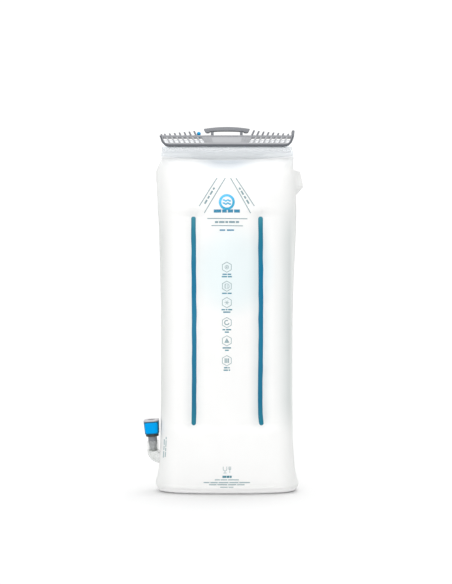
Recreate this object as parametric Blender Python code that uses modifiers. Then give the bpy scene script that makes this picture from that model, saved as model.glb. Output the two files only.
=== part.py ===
"""Three-litre hydration bladder: welded film bag, slide-on mouth closure and a valved hose coupling.

Blender 4.5, metres, +Z up. The origin is the centre of the base, where the filled bag stands;
the printed front faces -Y, and the hose coupling is on the -X side.
"""

import math

import bmesh
import bpy
import numpy as np
from mathutils import Matrix, Vector

# ---------------------------------------------------------------- driving sizes
FILM = 0.0007  # film thickness
GAP = 0.0003  # clearance kept between pieces that touch
LAP = FILM + GAP  # depth of one film lying inside another
BAND = 0.0008  # thickness of one mouth band

# Filled outline of the bag: height, half width on the left and on the right, half depth, and
# the squareness of the section.
STATIONS = (
    (0.0000, 0.0780, 0.0790, 0.0210, 2.7),
    (0.0012, 0.0829, 0.0839, 0.0240, 2.7),
    (0.0035, 0.0863, 0.0876, 0.0262, 2.7),
    (0.0070, 0.0884, 0.0894, 0.0280, 2.7),
    (0.0105, 0.0889, 0.0897, 0.0289, 2.7),
    (0.0140, 0.0884, 0.0885, 0.0295, 2.7),
    (0.0200, 0.0869, 0.0868, 0.0302, 2.7),
    (0.0250, 0.0858, 0.0858, 0.0305, 2.7),
    (0.0400, 0.0842, 0.0842, 0.0310, 2.7),
    (0.0620, 0.0831, 0.0829, 0.0310, 2.7),
    (0.1000, 0.0824, 0.0820, 0.0310, 2.7),
    (0.1700, 0.0823, 0.0820, 0.0310, 2.7),
    (0.2300, 0.0825, 0.0826, 0.0310, 2.7),
    (0.2600, 0.0831, 0.0836, 0.0310, 2.7),
    (0.2950, 0.0839, 0.0852, 0.0310, 2.7),
    (0.3250, 0.0848, 0.0865, 0.0310, 2.7),
    (0.3500, 0.0864, 0.0870, 0.0305, 2.7),
    (0.3740, 0.0875, 0.0856, 0.0284, 2.8),
    (0.3880, 0.0877, 0.0846, 0.0245, 3.0),
    (0.3955, 0.0874, 0.0838, 0.0205, 3.2),
    (0.4000, 0.0866, 0.0832, 0.0170, 3.6),
    (0.4050, 0.0844, 0.0830, 0.0126, 4.5),
    (0.4095, 0.0820, 0.0830, 0.0070, 7.0),
    (0.4120, 0.0814, 0.0828, 0.0036, 10.0),
    (0.4150, 0.0812, 0.0824, 0.0021, 12.0),
    (0.4210, 0.0811, 0.0820, 0.0021, 12.0),
)
GUSSET_TOP = 0.4120
PANEL_ROWS = (
    0.0070, 0.0140, 0.0250, 0.0430, 0.0750, 0.0860, 0.1100, 0.1700, 0.2300, 0.2800, 0.3120, 0.3370,
    0.3480, 0.3590, 0.3660, 0.3765, 0.3870, 0.3955, 0.3980, 0.4015, 0.4050, 0.4085, 0.4115, 0.4150,
    0.4205,
)

# Baffles: two welded lines on each face, tied to each other by a web inside.
WELD_X = 0.0405
WELD_LOW, WELD_HIGH = 0.0860, 0.3370
WELD_FADE = 0.0110  # how far past its end a weld still pulls the film in
WELD_PULL = 0.0065  # how far the weld holds the film back from the full depth
WELD_REACH = 0.0130  # how far sideways that pull fades
STRIP_WIDTH, STRIP_THICK = 0.0050, 0.0005
VALLEY_FLAT = 0.0029  # half width of the flat floor of the valley, under the strip
WEB_THICK = 0.0005

# Creased corners of the side gussets below the mouth: height and how far they stand out.
LEFT_EAR = ((0.4015, 0.0), (0.3955, 0.0012), (0.3870, 0.0009), (0.3765, 0.0))
RIGHT_EAR = ((0.3980, 0.0), (0.3955, 0.0082), (0.3870, 0.0090), (0.3765, 0.0106), (0.3660, 0.0006),
             (0.3590, 0.0))

# Mouth bands: they rise into the slider and fold over a bead towards the rear.
MOUTH_GAP = 0.0003
BAND_HALF_WIDTH = 0.0803
BAND_SIDE_LOW, BAND_MID_LOW = 0.4190, 0.4105
BAND_STEP_IN, BAND_STEP_OUT = 0.0380, 0.0480
BAND_CORNER = 0.0040
FOLD_HEIGHT = 0.4320
BEAD_RADIUS = 0.0008
FOLD_Y = MOUTH_GAP / 2 + BAND + GAP + BEAD_RADIUS
FOLD_END = 0.4286

# Slider: a slotted channel that traps the folded mouth.
SLIDER_LEFT, SLIDER_RIGHT = -0.0834, 0.0834
SLIDER_LOW, SLIDER_HIGH = 0.4258, 0.4395
SLIDER_HALF_DEPTH, SLIDER_EDGE = 0.0070, 0.0011
CHANNEL_HALF_DEPTH, CHANNEL_LOW, CHANNEL_HIGH = 0.0054, 0.4274, 0.4374
SLOT_HALF = 0.0014
CLAMP_LOW, CLAMP_HIGH, CLAMP_Y = 0.4300, 0.4328, -0.0013
SLIDER_CORNER = 0.0105  # radius of its lower corners, seen from the front
SLOT_COUNT = 8
SLOT_PITCH, SLOT_FIRST, SLOT_WIDTH = 0.00636, 0.0328, 0.0043
SLOT_LOW, SLOT_TOP = 0.4301, 0.4371
SLANT = 0.486  # sideways lean of slots and teeth for each unit of height
TOOTH_WIDTH, TOOTH_HALF_DEPTH = 0.0020, 0.0060
TOOTH_TALL, TOOTH_SHORT = 0.0062, 0.0014
POST_X, POST_WIDTH, POST_DEPTH, POST_TOP = 0.0180, 0.0034, 0.0056, 0.4470
HANGER_TOP, HANGER_HALF, HANGER_DEPTH = 0.4500, 0.0284, 0.0090
STUD_X, STUD_RADIUS = -0.0347, 0.0025

# Port elbow: leaves the left gusset and turns up into a cuff.
TILT = math.radians(-4.0)  # the cuff and coupling lean away from the bag
PORT_Z, ELBOW_BEND = 0.0415, 0.0085
ELBOW_RADIUS, ELBOW_BORE = 0.0075, 0.0058
ARM_INNER_X, ARM_BEND_X = -0.0755, -0.0825
FLANGE_RADIUS, FLANGE_THICK = 0.0125, 0.0013
CUFF_LENGTH = 0.0126

# Coupling, measured along its own axis from the top of the cuff.
STEM_RADIUS, STEM_NECK, STEM_END = 0.0055, 0.0045, -0.0130
COLLAR_LOW, COLLAR_HIGH, COLLAR_RADIUS = 0.0055, 0.0082, 0.0080
HEAD_LOW, HEAD_HIGH = 0.0086, 0.0240
HEAD_X_LOW, HEAD_X_HIGH = 0.0085, 0.0092
HEAD_Y_LOW, HEAD_Y_HIGH = 0.0092, 0.0102
HEAD_WALL, HEAD_CORNER = 0.0013, 0.0042
CORE_X_LOW, CORE_X_HIGH, CORE_FRONT, CORE_REAR = 0.0067, 0.0073, -0.0057, 0.0086
SOCKET_RADIUS, SOCKET_FLOOR = 0.0047, 0.0138
THROAT_RADIUS, SEAT_HEIGHT = 0.0024, 0.0108
CHAMBER_RADIUS, CHAMBER_FLOOR = 0.0035, -0.0067
BUTTON_TRAVEL, POPPET_TRAVEL = 0.0018, 0.0025
LATCH_LOW, LATCH_THICK = 0.0192, 0.0010
POCKET_X, POCKET_Z, POCKET_RADIUS, POCKET_END = 0.0044, 0.0121, 0.00125, 0.0012
BEZEL_LOW, BEZEL_HIGH = 0.0243, 0.0260

TINY = 1e-5  # merge distance for seams of turned shapes


# ---------------------------------------------------------------- scene helpers
def clear_scene():
    for thing in list(bpy.data.objects):
        bpy.data.objects.remove(thing, do_unlink=True)


def collection(name):
    made = bpy.data.collections.new(name)
    bpy.context.scene.collection.children.link(made)
    return made


def material(name, colour, roughness, metallic=0.0):
    made = bpy.data.materials.new(name)
    made.use_nodes = True
    shader = made.node_tree.nodes["Principled BSDF"]
    shader.inputs["Base Color"].default_value = (*colour, 1.0)
    shader.inputs["Roughness"].default_value = roughness
    shader.inputs["Metallic"].default_value = metallic
    return made


def add(name, mesh, finish, parent=None):
    """A part: an object in the bladder's collection."""
    made = bpy.data.objects.new(name, mesh)
    PARTS.objects.link(made)
    if finish is not None and not mesh.materials:
        mesh.materials.append(finish)
    made.parent = parent
    return made


def as_tool(thing):
    """Moves an object to the cutters, which are never part of the bladder."""
    for holder in list(thing.users_collection):
        holder.objects.unlink(thing)
    CUTTERS.objects.link(thing)
    thing.hide_render = True
    thing.display_type = "WIRE"
    return thing


def combine(target, tool, operation):
    """Cuts, joins or intersects target with tool, live, by an exact Boolean."""
    step = target.modifiers.new(operation.lower(), "BOOLEAN")
    step.object = as_tool(tool)
    step.operation = operation
    step.solver = "EXACT"
    return target


def baked(thing):
    """Replaces a curve or a modified mesh by its plain welded mesh, in the same place."""
    bpy.context.view_layer.update()
    graph = bpy.context.evaluated_depsgraph_get()
    mesh = bpy.data.meshes.new_from_object(thing.evaluated_get(graph), depsgraph=graph)
    work = bmesh.new()
    work.from_mesh(mesh)
    bmesh.ops.remove_doubles(work, verts=work.verts, dist=TINY / 2)
    bmesh.ops.recalc_face_normals(work, faces=work.faces)
    work.to_mesh(mesh)
    work.free()
    name, place, parent = thing.name, thing.matrix_basis.copy(), thing.parent
    bpy.data.objects.remove(thing, do_unlink=True)
    made = bpy.data.objects.new(name, mesh)
    PARTS.objects.link(made)
    made.parent = parent
    made.matrix_basis = place
    return made


def smooth(thing, degrees=40.0):
    thing.data.shade_smooth()
    thing.data.set_sharp_from_angle(angle=math.radians(degrees))
    return thing


# ---------------------------------------------------------------- shape helpers
def block(name, low, high, finish=None, parent=None):
    """A box between two corners."""
    low, high = Vector(low), Vector(high)
    work = bmesh.new()
    bmesh.ops.create_cube(work, size=1.0)
    size = high - low
    bmesh.ops.scale(work, vec=size, verts=work.verts)
    bmesh.ops.translate(work, vec=(low + high) / 2, verts=work.verts)
    mesh = bpy.data.meshes.new(name)
    work.to_mesh(mesh)
    work.free()
    return add(name, mesh, finish, parent)


def rod(name, start, end, radius, finish=None, parent=None, sides=24):
    """A cylinder between two points."""
    start, end = Vector(start), Vector(end)
    work = bmesh.new()
    bmesh.ops.create_cone(
        work, cap_ends=True, segments=sides, radius1=radius, radius2=radius, depth=(end - start).length
    )
    turn = (end - start).to_track_quat("Z", "Y").to_matrix().to_4x4()
    work.transform(Matrix.Translation((start + end) / 2) @ turn)
    mesh = bpy.data.meshes.new(name)
    work.to_mesh(mesh)
    work.free()
    return add(name, mesh, finish, parent)


def turned(name, profile, finish, parent=None, sides=32):
    """A solid of revolution about +Z from a closed loop of (radius, height), given down its outer side."""
    mesh = bpy.data.meshes.new(name)
    points = [(radius, 0.0, height) for radius, height in profile]
    edges = [(i, (i + 1) % len(points)) for i in range(len(points))]
    on_axis = [i for i, point in enumerate(points) if point[0] == 0.0]
    if on_axis:
        edges = [edge for edge in edges if not (edge[0] in on_axis and edge[1] in on_axis)]
    mesh.from_pydata(points, edges, [])
    made = add(name, mesh, finish, parent)
    screw = made.modifiers.new("turn", "SCREW")
    screw.steps = screw.render_steps = sides
    screw.use_merge_vertices = True
    screw.merge_threshold = TINY
    return made


def outline_prism(name, outlines, depth, place, finish=None, parent=None):
    """Flat closed outlines, filled and given a thickness, then stood up by place."""
    curve = bpy.data.curves.new(name, "CURVE")
    curve.dimensions = "2D"
    curve.fill_mode = "BOTH"
    curve.extrude = depth / 2
    for outline in outlines:
        spline = curve.splines.new("POLY")
        spline.points.add(len(outline) - 1)
        for point, (across, up) in zip(spline.points, outline):
            point.co = (across, up, 0.0, 1.0)
        spline.use_cyclic_u = True
    thing = bpy.data.objects.new(name, curve)
    PARTS.objects.link(thing)
    thing.parent = parent
    thing.matrix_basis = place
    made = baked(thing)
    if finish is not None:
        made.data.materials.append(finish)
    return made


FACING_FRONT = Matrix.Rotation(math.pi / 2, 4, "X")  # outline (x, z), thickness along Y
FACING_SIDE = Matrix(((0, 0, 1, 0), (1, 0, 0, 0), (0, 1, 0, 0), (0, 0, 0, 1)))  # outline (y, z), along X


def pipe(name, points, radius, finish, parent=None, resolution=3):
    """A round bar along a smooth line of points."""
    curve = bpy.data.curves.new(name, "CURVE")
    curve.dimensions = "3D"
    curve.bevel_depth = radius
    curve.bevel_resolution = resolution
    curve.use_fill_caps = True
    spline = curve.splines.new("POLY")
    spline.points.add(len(points) - 1)
    for point, place in zip(spline.points, points):
        point.co = (*place, 1.0)
    made = bpy.data.objects.new(name, curve)
    PARTS.objects.link(made)
    made.parent = parent
    if finish is not None:
        curve.materials.append(finish)
    return made


def arc(centre, radius, start, end, count):
    """Points on a circle arc, in degrees, both ends included."""
    angles = [math.radians(start + (end - start) * i / (count - 1)) for i in range(count)]
    return [(centre[0] + radius * math.cos(a), centre[1] + radius * math.sin(a)) for a in angles]


def sheet(name, grid, thickness, finish, offset=-1.0):
    """An open surface through rows of points, thickened; offset -1 keeps the rows as its outer face."""
    rows, columns = len(grid), len(grid[0])
    faces = [
        (r * columns + c, r * columns + c + 1, (r + 1) * columns + c + 1, (r + 1) * columns + c)
        for r in range(rows - 1)
        for c in range(columns - 1)
    ]
    mesh = bpy.data.meshes.new(name)
    mesh.from_pydata([tuple(point) for row in grid for point in row], [], faces)
    made = add(name, mesh, finish)
    shell = made.modifiers.new("thickness", "SOLIDIFY")
    shell.thickness = thickness
    shell.offset = offset
    shell.use_even_offset = True
    return smooth(made)


def ring_loft(name, rings, finish=None, parent=None):
    """A closed solid through rings of equal point counts, lowest first, with flat ends."""
    count = len(rings[0])
    faces = [tuple(reversed(range(count)))]
    for r in range(len(rings) - 1):
        for i in range(count):
            j = (i + 1) % count
            faces.append((r * count + i, r * count + j, (r + 1) * count + j, (r + 1) * count + i))
    faces.append(tuple((len(rings) - 1) * count + i for i in range(count)))
    mesh = bpy.data.meshes.new(name)
    mesh.from_pydata([point for ring in rings for point in ring], [], faces)
    return add(name, mesh, finish, parent)


def rounded_ring(half_x, front, rear, corner, height, corner_steps=4):
    """A rectangle with round corners, anticlockwise from above, from y = front to y = rear."""
    points = []
    for sx, y, start in ((1, rear, 0), (-1, rear, 90), (-1, front, 180), (1, front, 270)):
        centre = (sx * (half_x - corner), y - math.copysign(corner, y))
        points += arc(centre, corner, start, start + 90, corner_steps + 1)
    return [(x, y, height) for x, y in points]


# ---------------------------------------------------------------- the filled bag's surface
def station(height, side):
    """Half width on the given side, half depth and squareness of the bag at a height."""
    table = np.array(STATIONS)[:, [0, 1 if side < 0 else 2, 3, 4]]
    heights = table[:, 0]
    slopes = np.gradient(table[:, 1:], heights, axis=0)
    height = min(max(height, heights[0]), heights[-1])
    i = min(int(np.searchsorted(heights, height, side="right")) - 1, len(heights) - 2)
    span = heights[i + 1] - heights[i]
    t = (height - heights[i]) / span
    chord = (table[i + 1, 1:] - table[i, 1:]) / span
    limit = 3 * np.abs(chord)
    first = np.where(chord * slopes[i] > 0, np.clip(slopes[i], -limit, limit), 0.0)
    last = np.where(chord * slopes[i + 1] > 0, np.clip(slopes[i + 1], -limit, limit), 0.0)
    h00, h10 = (1 + 2 * t) * (1 - t) ** 2, t * (1 - t) ** 2
    h01, h11 = t * t * (3 - 2 * t), t * t * (t - 1)
    return h00 * table[i, 1:] + h10 * span * first + h01 * table[i + 1, 1:] + h11 * span * last


def ease(value):
    value = min(max(value, 0.0), 1.0)
    return value * value * (3 - 2 * value)


def weld_pull(across, height):
    """How far a baffle weld holds the film back at this place."""
    along = min(height - (WELD_LOW - WELD_FADE), (WELD_HIGH + WELD_FADE) - height) / WELD_FADE
    sideways = max(0.0, abs(abs(across) - WELD_X) - VALLEY_FLAT)
    return WELD_PULL * ease(along) * math.exp(-sideways / WELD_REACH)


FLAT_COLUMNS = (0.0, 0.0150, 0.0280, WELD_X - VALLEY_FLAT, WELD_X + VALLEY_FLAT, 0.0490, 0.0580)
SIDE_STEPS = 6.0  # the section's flank, from the last flat column to the side, counted in these steps
SEAM_STEP, GUSSET_STEP = 4.0, 3.3  # where the panel ends, and where the gusset under it begins


def flank_angle(side, step, height):
    half_width, _, square = station(height, side)
    first = math.asin((FLAT_COLUMNS[-1] / half_width) ** (square / 2))
    return first + (math.pi / 2 - first) * step / SIDE_STEPS


def front_point(across, height):
    """The film's outer face at a place near the middle of the front."""
    half_width, half_depth, square = station(height, across)
    fullness = (1 - (abs(across) / half_width) ** square) ** (1 / square)
    return Vector((across, -(half_depth * fullness - weld_pull(across, height)), height))


def flank_point(side, step, height):
    """The film's outer face on the front's flank: side is -1 or 1; a step past SIDE_STEPS is on the rear."""
    face = -1 if step <= SIDE_STEPS else 1
    step = min(step, 2 * SIDE_STEPS - step)
    half_width, half_depth, square = station(height, side)
    angle = flank_angle(side, step, height)
    across = half_width * math.sin(angle) ** (2 / square)
    depth = half_depth * max(math.cos(angle), 0.0) ** (2 / square) - weld_pull(across, height) * (
        1 - step / SIDE_STEPS
    )
    return Vector((side * across, face * max(depth, 0.0), height))


def inset(point_at, u, height, depth):
    """The point at (u, height) moved depth into the bag, square to the film."""
    du, dh = 0.02, 0.0004
    low, high = max(height - dh, 0.0), min(height + dh, STATIONS[-1][0])
    along = point_at(u + du, height) - point_at(u - du, height)
    up = point_at(u, high) - point_at(u, low)
    normal = along.cross(up).normalized()
    here = point_at(u, height)
    outward = Vector((here.x, here.y * 4, 0))
    if normal.dot(outward) < 0:
        normal.negate()
    return here - normal * depth


# ---------------------------------------------------------------- the bag
def panel_grid():
    """Rows of the front film, left to right, lowest first."""
    flank = [float(step) for step in range(1, int(SEAM_STEP) + 1)]
    grid = []
    for height in PANEL_ROWS:
        row = [flank_point(-1, step, height) for step in reversed(flank)]
        row += [front_point(-x, height) for x in reversed(FLAT_COLUMNS[1:])]
        row += [front_point(x, height) for x in FLAT_COLUMNS]
        row += [flank_point(1, step, height) for step in flank]
        grid.append(row)
    return grid


def to_rear(grid):
    """The same rows mirrored to the rear face, kept facing out."""
    return [[Vector((p.x, -p.y, p.z)) for p in reversed(row)] for row in grid]


def make_panels(film):
    grid = panel_grid()
    sheet("front_panel", grid, FILM, film)
    sheet("rear_panel", to_rear(grid), FILM, film)


def ear_at(table, height):
    heights = [z for z, _ in reversed(table)]
    stand_out = [out for _, out in reversed(table)]
    return float(np.interp(height, heights, stand_out, left=0.0, right=0.0))


def gusset_grid(side, ear):
    """Rows of a side film, lapped under both panels, with its creased corner standing out."""
    half = [(GUSSET_STEP, 0.0), (4.0, 0.0), (4.8, 0.05), (5.5, 0.35), (5.82, 0.72)]
    steps = half + [(SIDE_STEPS, 1.0)] + [(2 * SIDE_STEPS - s, w) for s, w in reversed(half)]
    grid = []
    for height in PANEL_ROWS:
        if height > GUSSET_TOP:
            break
        row = []
        for step, share in steps:
            point = inset(lambda u, z: flank_point(side, u, z), step, height, LAP)
            point.x += side * ear_at(ear, height) * share
            row.append(point)
        grid.append(row if side > 0 else row[::-1])
    return grid


def make_gussets(film):
    sheet("right_gusset", gusset_grid(1, RIGHT_EAR), FILM, film)
    left = sheet("left_gusset", gusset_grid(-1, LEFT_EAR), FILM, film)
    hole = rod("port_hole", (-0.1, 0, PORT_Z), (-0.06, 0, PORT_Z), ELBOW_RADIUS + GAP, sides=32)
    combine(left, hole, "DIFFERENCE")


def base_ring(height, depth, shrink=1.0):
    """One ring of the base film, anticlockwise from above, starting at the front."""
    steps = (1.5, 3.0, 4.2, 5.2, 6.0, 6.8, 7.8, 9.0, 10.5)
    front = (-0.0480, -0.0240, 0.0, 0.0240, 0.0480)
    ring = [inset(front_point, x, height, depth) for x in front]
    ring += [inset(lambda u, z: flank_point(1, u, z), step, height, depth) for step in steps]
    ring += [Vector((p.x, -p.y, p.z)) for p in reversed(ring[:5])]
    ring += [inset(lambda u, z: flank_point(-1, u, z), step, height, depth) for step in reversed(steps)]
    return [Vector((p.x * shrink, p.y * shrink, height)) for p in ring]


def make_base(film):
    """The bottom film: a rim lapped inside the walls, rounded down to the flat that it stands on."""
    rings = [
        base_ring(PANEL_ROWS[1] - 0.0004, 2 * LAP),
        base_ring(PANEL_ROWS[0], 2 * LAP),
        base_ring(0.0040, 1.4 * LAP),
        base_ring(0.0014, 0.7 * LAP),
        base_ring(0.0, 0.0),
        base_ring(0.0, 0.0, 0.5),
    ]
    count = len(rings[0])
    points = [tuple(point) for ring in rings for point in ring]
    faces = []
    for r in range(len(rings) - 1):
        for i in range(count):
            j = (i + 1) % count
            faces.append((r * count + i, (r + 1) * count + i, (r + 1) * count + j, r * count + j))
    faces.append(tuple((len(rings) - 1) * count + i for i in reversed(range(count))))
    mesh = bpy.data.meshes.new("base_gusset")
    mesh.from_pydata(points, [], faces)
    made = add("base_gusset", mesh, film)
    work = bmesh.new()
    work.from_mesh(mesh)
    lowest = min(work.faces, key=lambda f: f.calc_center_median().z + abs(f.calc_center_median().x))
    if lowest.normal.z > 0:
        bmesh.ops.reverse_faces(work, faces=work.faces)
    work.to_mesh(mesh)
    work.free()
    shell = made.modifiers.new("thickness", "SOLIDIFY")
    shell.thickness = FILM
    shell.offset = -1.0
    smooth(made)


def weld_floor(across, height):
    """How far the film lies from the mid-plane on the flat floor of a weld's valley."""
    sign = math.copysign(1.0, across)
    inner, outer = WELD_X - VALLEY_FLAT, WELD_X + VALLEY_FLAT
    share = (abs(across) - inner) / (outer - inner)
    near, far = front_point(sign * inner, height), front_point(sign * outer, height)
    return -(near.y + (far.y - near.y) * share)


def make_baffles(web_film, strip_finish):
    """Inside webs, and the weld strips that show on both faces."""
    rows = [WELD_LOW + (WELD_HIGH - WELD_LOW) * i / 10 for i in range(11)]
    for side, x in (("left", -WELD_X), ("right", WELD_X)):
        grid = []
        for z in rows:
            reach = weld_floor(x, z) - FILM - GAP
            grid.append([Vector((x, y * reach, z)) for y in (-1.0, 0.0, 1.0)])
        sheet(f"baffle_web_{side}", grid, WEB_THICK, web_film, offset=0.0)
        for face, towards in (("front", -1), ("rear", 1)):
            grid = []
            for z in strip_rows():
                half = -towards * strip_half(z)
                across = (x - half, x, x + half)
                grid.append([Vector((u, towards * (weld_floor(u, z) + GAP), z)) for u in across])
            sheet(f"{face}_weld_{side}", grid, STRIP_THICK, strip_finish, offset=1.0)


def strip_rows():
    ends = (0.0, 0.0005, 0.0014)
    low = [WELD_LOW + e for e in ends]
    high = [WELD_HIGH - e for e in reversed(ends)]
    middle = [z for z in PANEL_ROWS if low[-1] + 0.002 < z < high[0] - 0.002]
    return low + middle + high


def strip_half(z):
    """Half width of a strip, rounded at both ends."""
    from_end = min(z - WELD_LOW, WELD_HIGH - z)
    half = STRIP_WIDTH / 2
    from_end = min(from_end + 0.0004, half)
    return math.sqrt(half**2 - (half - from_end) ** 2)


# ---------------------------------------------------------------- the mouth
def band_low(across):
    """Lower edge of a mouth band: deeper in the middle, round at its corners."""
    across = abs(across)
    step = ease((across - BAND_STEP_IN) / (BAND_STEP_OUT - BAND_STEP_IN))
    low = BAND_MID_LOW + (BAND_SIDE_LOW - BAND_MID_LOW) * step
    into_corner = across - (BAND_HALF_WIDTH - BAND_CORNER)
    if into_corner > 0:
        low += BAND_CORNER - math.sqrt(max(BAND_CORNER**2 - into_corner**2, 0.0))
    return low


def make_bands(clear):
    """Front and rear bands, folded together over the bead towards the rear."""
    half = [0.0, 0.0200, BAND_STEP_IN, 0.0410, 0.0450, BAND_STEP_OUT, 0.0640,
            BAND_HALF_WIDTH - BAND_CORNER, BAND_HALF_WIDTH - 0.0012, BAND_HALF_WIDTH]
    columns = [-x for x in reversed(half[1:])] + half
    for name, y in (("front_mouth_band", -(MOUTH_GAP + BAND) / 2), ("rear_mouth_band", (MOUTH_GAP + BAND) / 2)):
        bend = arc((FOLD_Y, FOLD_HEIGHT), FOLD_Y - y, 180, 0, 8)
        path = [(y, None), (y, 0.4240)] + bend + [(bend[-1][0], FOLD_END)]
        grid = [[Vector((x, across, band_low(x) if z is None else z)) for x in columns] for across, z in path]
        sheet(name, grid, BAND, clear, offset=0.0)
    rod("fold_bead", (-BAND_HALF_WIDTH, FOLD_Y, FOLD_HEIGHT), (BAND_HALF_WIDTH, FOLD_Y, FOLD_HEIGHT),
        BEAD_RADIUS, clear, sides=12)


# ---------------------------------------------------------------- the slider
def slider_section():
    """The channel's section, (y, z), anticlockwise from the front of its slot."""
    deep, edge = SLIDER_HALF_DEPTH, SLIDER_EDGE
    return [
        (SLOT_HALF, SLIDER_LOW), (deep - edge, SLIDER_LOW), (deep, SLIDER_LOW + edge),
        (deep, SLIDER_HIGH - edge), (deep - edge, SLIDER_HIGH), (edge - deep, SLIDER_HIGH),
        (-deep, SLIDER_HIGH - edge), (-deep, SLIDER_LOW + edge), (edge - deep, SLIDER_LOW),
        (-SLOT_HALF, SLIDER_LOW), (-SLOT_HALF, CHANNEL_LOW), (-CHANNEL_HALF_DEPTH, CHANNEL_LOW),
        (-CHANNEL_HALF_DEPTH, CLAMP_LOW), (CLAMP_Y, CLAMP_LOW), (CLAMP_Y, CLAMP_HIGH),
        (-CHANNEL_HALF_DEPTH, CLAMP_HIGH), (-CHANNEL_HALF_DEPTH, CHANNEL_HIGH),
        (CHANNEL_HALF_DEPTH, CHANNEL_HIGH), (CHANNEL_HALF_DEPTH, CHANNEL_LOW), (SLOT_HALF, CHANNEL_LOW),
    ]


def slider_outline():
    """The slider from the front, (x, z): ends that lean in, and large lower corners."""
    lean = 0.0016
    r = SLIDER_CORNER
    over = 0.001
    right = arc((SLIDER_RIGHT - lean - r, SLIDER_LOW + r), r, -90, -8, 8)
    left = arc((SLIDER_LEFT + lean + r, SLIDER_LOW + r), r, 188, 270, 8)
    return [(SLIDER_RIGHT, SLIDER_HIGH + over)] + [(SLIDER_LEFT, SLIDER_HIGH + over)] + left + right


def slanted(x_top, z_top, z_low, width, side):
    """A leaning four-sided outline whose top end stands at x_top on the given side of the middle."""
    shift = SLANT * (z_top - z_low)
    top, low = x_top * side, (x_top - shift) * side
    half = width / 2
    points = [(low - half, z_low), (low + half, z_low), (top + half, z_top), (top - half, z_top)]
    return points


def make_slider(grey):
    length = SLIDER_RIGHT - SLIDER_LEFT + 0.004
    middle = (SLIDER_RIGHT + SLIDER_LEFT) / 2
    body = outline_prism(
        "slider_body", [slider_section()], length, Matrix.Translation((middle, 0, 0)) @ FACING_SIDE, grey
    )
    combine(body, outline_prism("slider_silhouette", [slider_outline()], 0.03, FACING_FRONT), "INTERSECT")
    combine(body, outline_prism("slider_teeth", slider_teeth(), 2 * TOOTH_HALF_DEPTH, FACING_FRONT), "UNION")
    for i, x in enumerate((-POST_X, POST_X)):
        post = block(
            f"hanger_post_{i}",
            (x - POST_WIDTH / 2, -POST_DEPTH / 2, SLIDER_HIGH - 0.001),
            (x + POST_WIDTH / 2, POST_DEPTH / 2, POST_TOP),
        )
        combine(body, post, "UNION")
    combine(body, end_stop(), "UNION")
    slots = [
        slanted(SLOT_FIRST + SLOT_PITCH * i, SLOT_TOP, SLOT_LOW, SLOT_WIDTH, side)
        for side in (-1, 1)
        for i in range(SLOT_COUNT)
    ]
    combine(body, outline_prism("slider_slots", slots, 0.03, FACING_FRONT), "DIFFERENCE")
    combine(body, rod("stud_hole", (STUD_X, 0, 0.43), (STUD_X, 0, 0.445), 0.0012, sides=16), "DIFFERENCE")


def slider_teeth():
    """Outlines of the comb of teeth that carries the bars between the slots above the top."""
    teeth = []
    for side in (-1, 1):
        for i in range(-1, SLOT_COUNT):
            if side < 0 and i < 0:
                continue  # the tether stud stands here
            share = (i + 1) / SLOT_COUNT
            tall = TOOTH_TALL + (TOOTH_SHORT - TOOTH_TALL) * share**0.8
            z_top = SLIDER_HIGH + tall
            x = SLOT_FIRST + SLOT_PITCH * (i + 0.5) + SLANT * (z_top - SLOT_TOP)
            x = min(x + (0.0007 if side < 0 else 0.0), -SLIDER_LEFT - 0.0024)
            teeth.append(slanted(x, z_top, SLIDER_HIGH - 0.0009, TOOTH_WIDTH, side))
    return teeth


def end_stop():
    """Closed right end with its upright finger hook."""
    inner, outer = SLIDER_RIGHT - 0.0025, SLIDER_RIGHT
    outline = [
        (inner, SLIDER_LOW + 0.0082), (outer - 0.0012, SLIDER_LOW + 0.0090), (outer - 0.0003, 0.4400),
        (outer + 0.0003, 0.4440), (outer - 0.0001, 0.4453), (inner + 0.0002, 0.4456), (inner - 0.0006, 0.4445),
        (inner + 0.0004, 0.4400),
    ]
    return outline_prism("slider_end_stop", [outline], 2 * SLIDER_HALF_DEPTH - 0.0006, FACING_FRONT)


def make_hanger(dark):
    """The arched bar on its two posts, with ends that hook down."""
    half, top = HANGER_HALF, HANGER_TOP
    rise = 0.0024
    crown = []
    for i in range(13):
        x = half - 2 * half * i / 12
        crown.append((x, top - rise * (x / half) ** 2))
    under = [
        (-half + 0.0016, top - 0.0056), (-half + 0.0036, top - 0.0068), (-half + 0.0060, top - 0.0066),
        (-0.0200, top - 0.0052), (-0.0130, top - 0.0048), (-0.0060, top - 0.0046),
    ]
    outline = crown + under + [(-x, z) for x, z in reversed(under)]
    bar = outline_prism("hanger_bar", [outline], HANGER_DEPTH, FACING_FRONT, dark)
    edge = bar.modifiers.new("edge", "BEVEL")
    edge.width = 0.0009
    edge.segments = 2
    edge.limit_method = "ANGLE"
    edge.angle_limit = math.radians(60)
    for i, x in enumerate((-POST_X, POST_X)):
        pocket = block(
            f"post_pocket_{i}",
            (x - POST_WIDTH / 2 - GAP, -POST_DEPTH / 2 - GAP, top - 0.0100),
            (x + POST_WIDTH / 2 + GAP, POST_DEPTH / 2 + GAP, POST_TOP + GAP),
        )
        combine(bar, pocket, "DIFFERENCE")


def make_stud(blue):
    """The tether's round stud, its pin pressed through the top of the channel."""
    centre = SLIDER_HIGH + GAP + STUD_RADIUS * 0.96
    head = arc((0.0, centre), STUD_RADIUS, 88, -70, 9)
    profile = [(0.0, centre + STUD_RADIUS)] + head[1:]
    profile += [(0.0008, SLIDER_HIGH + GAP), (0.0008, CHANNEL_HIGH - 0.0003), (0.0014, CHANNEL_HIGH - 0.0004),
                (0.0008, CHANNEL_HIGH - 0.0013), (0.0, CHANNEL_HIGH - 0.0013)]
    stud = turned("tether_stud", profile, blue, sides=20)
    stud.location = (STUD_X, 0, 0)
    smooth(stud)


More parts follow.
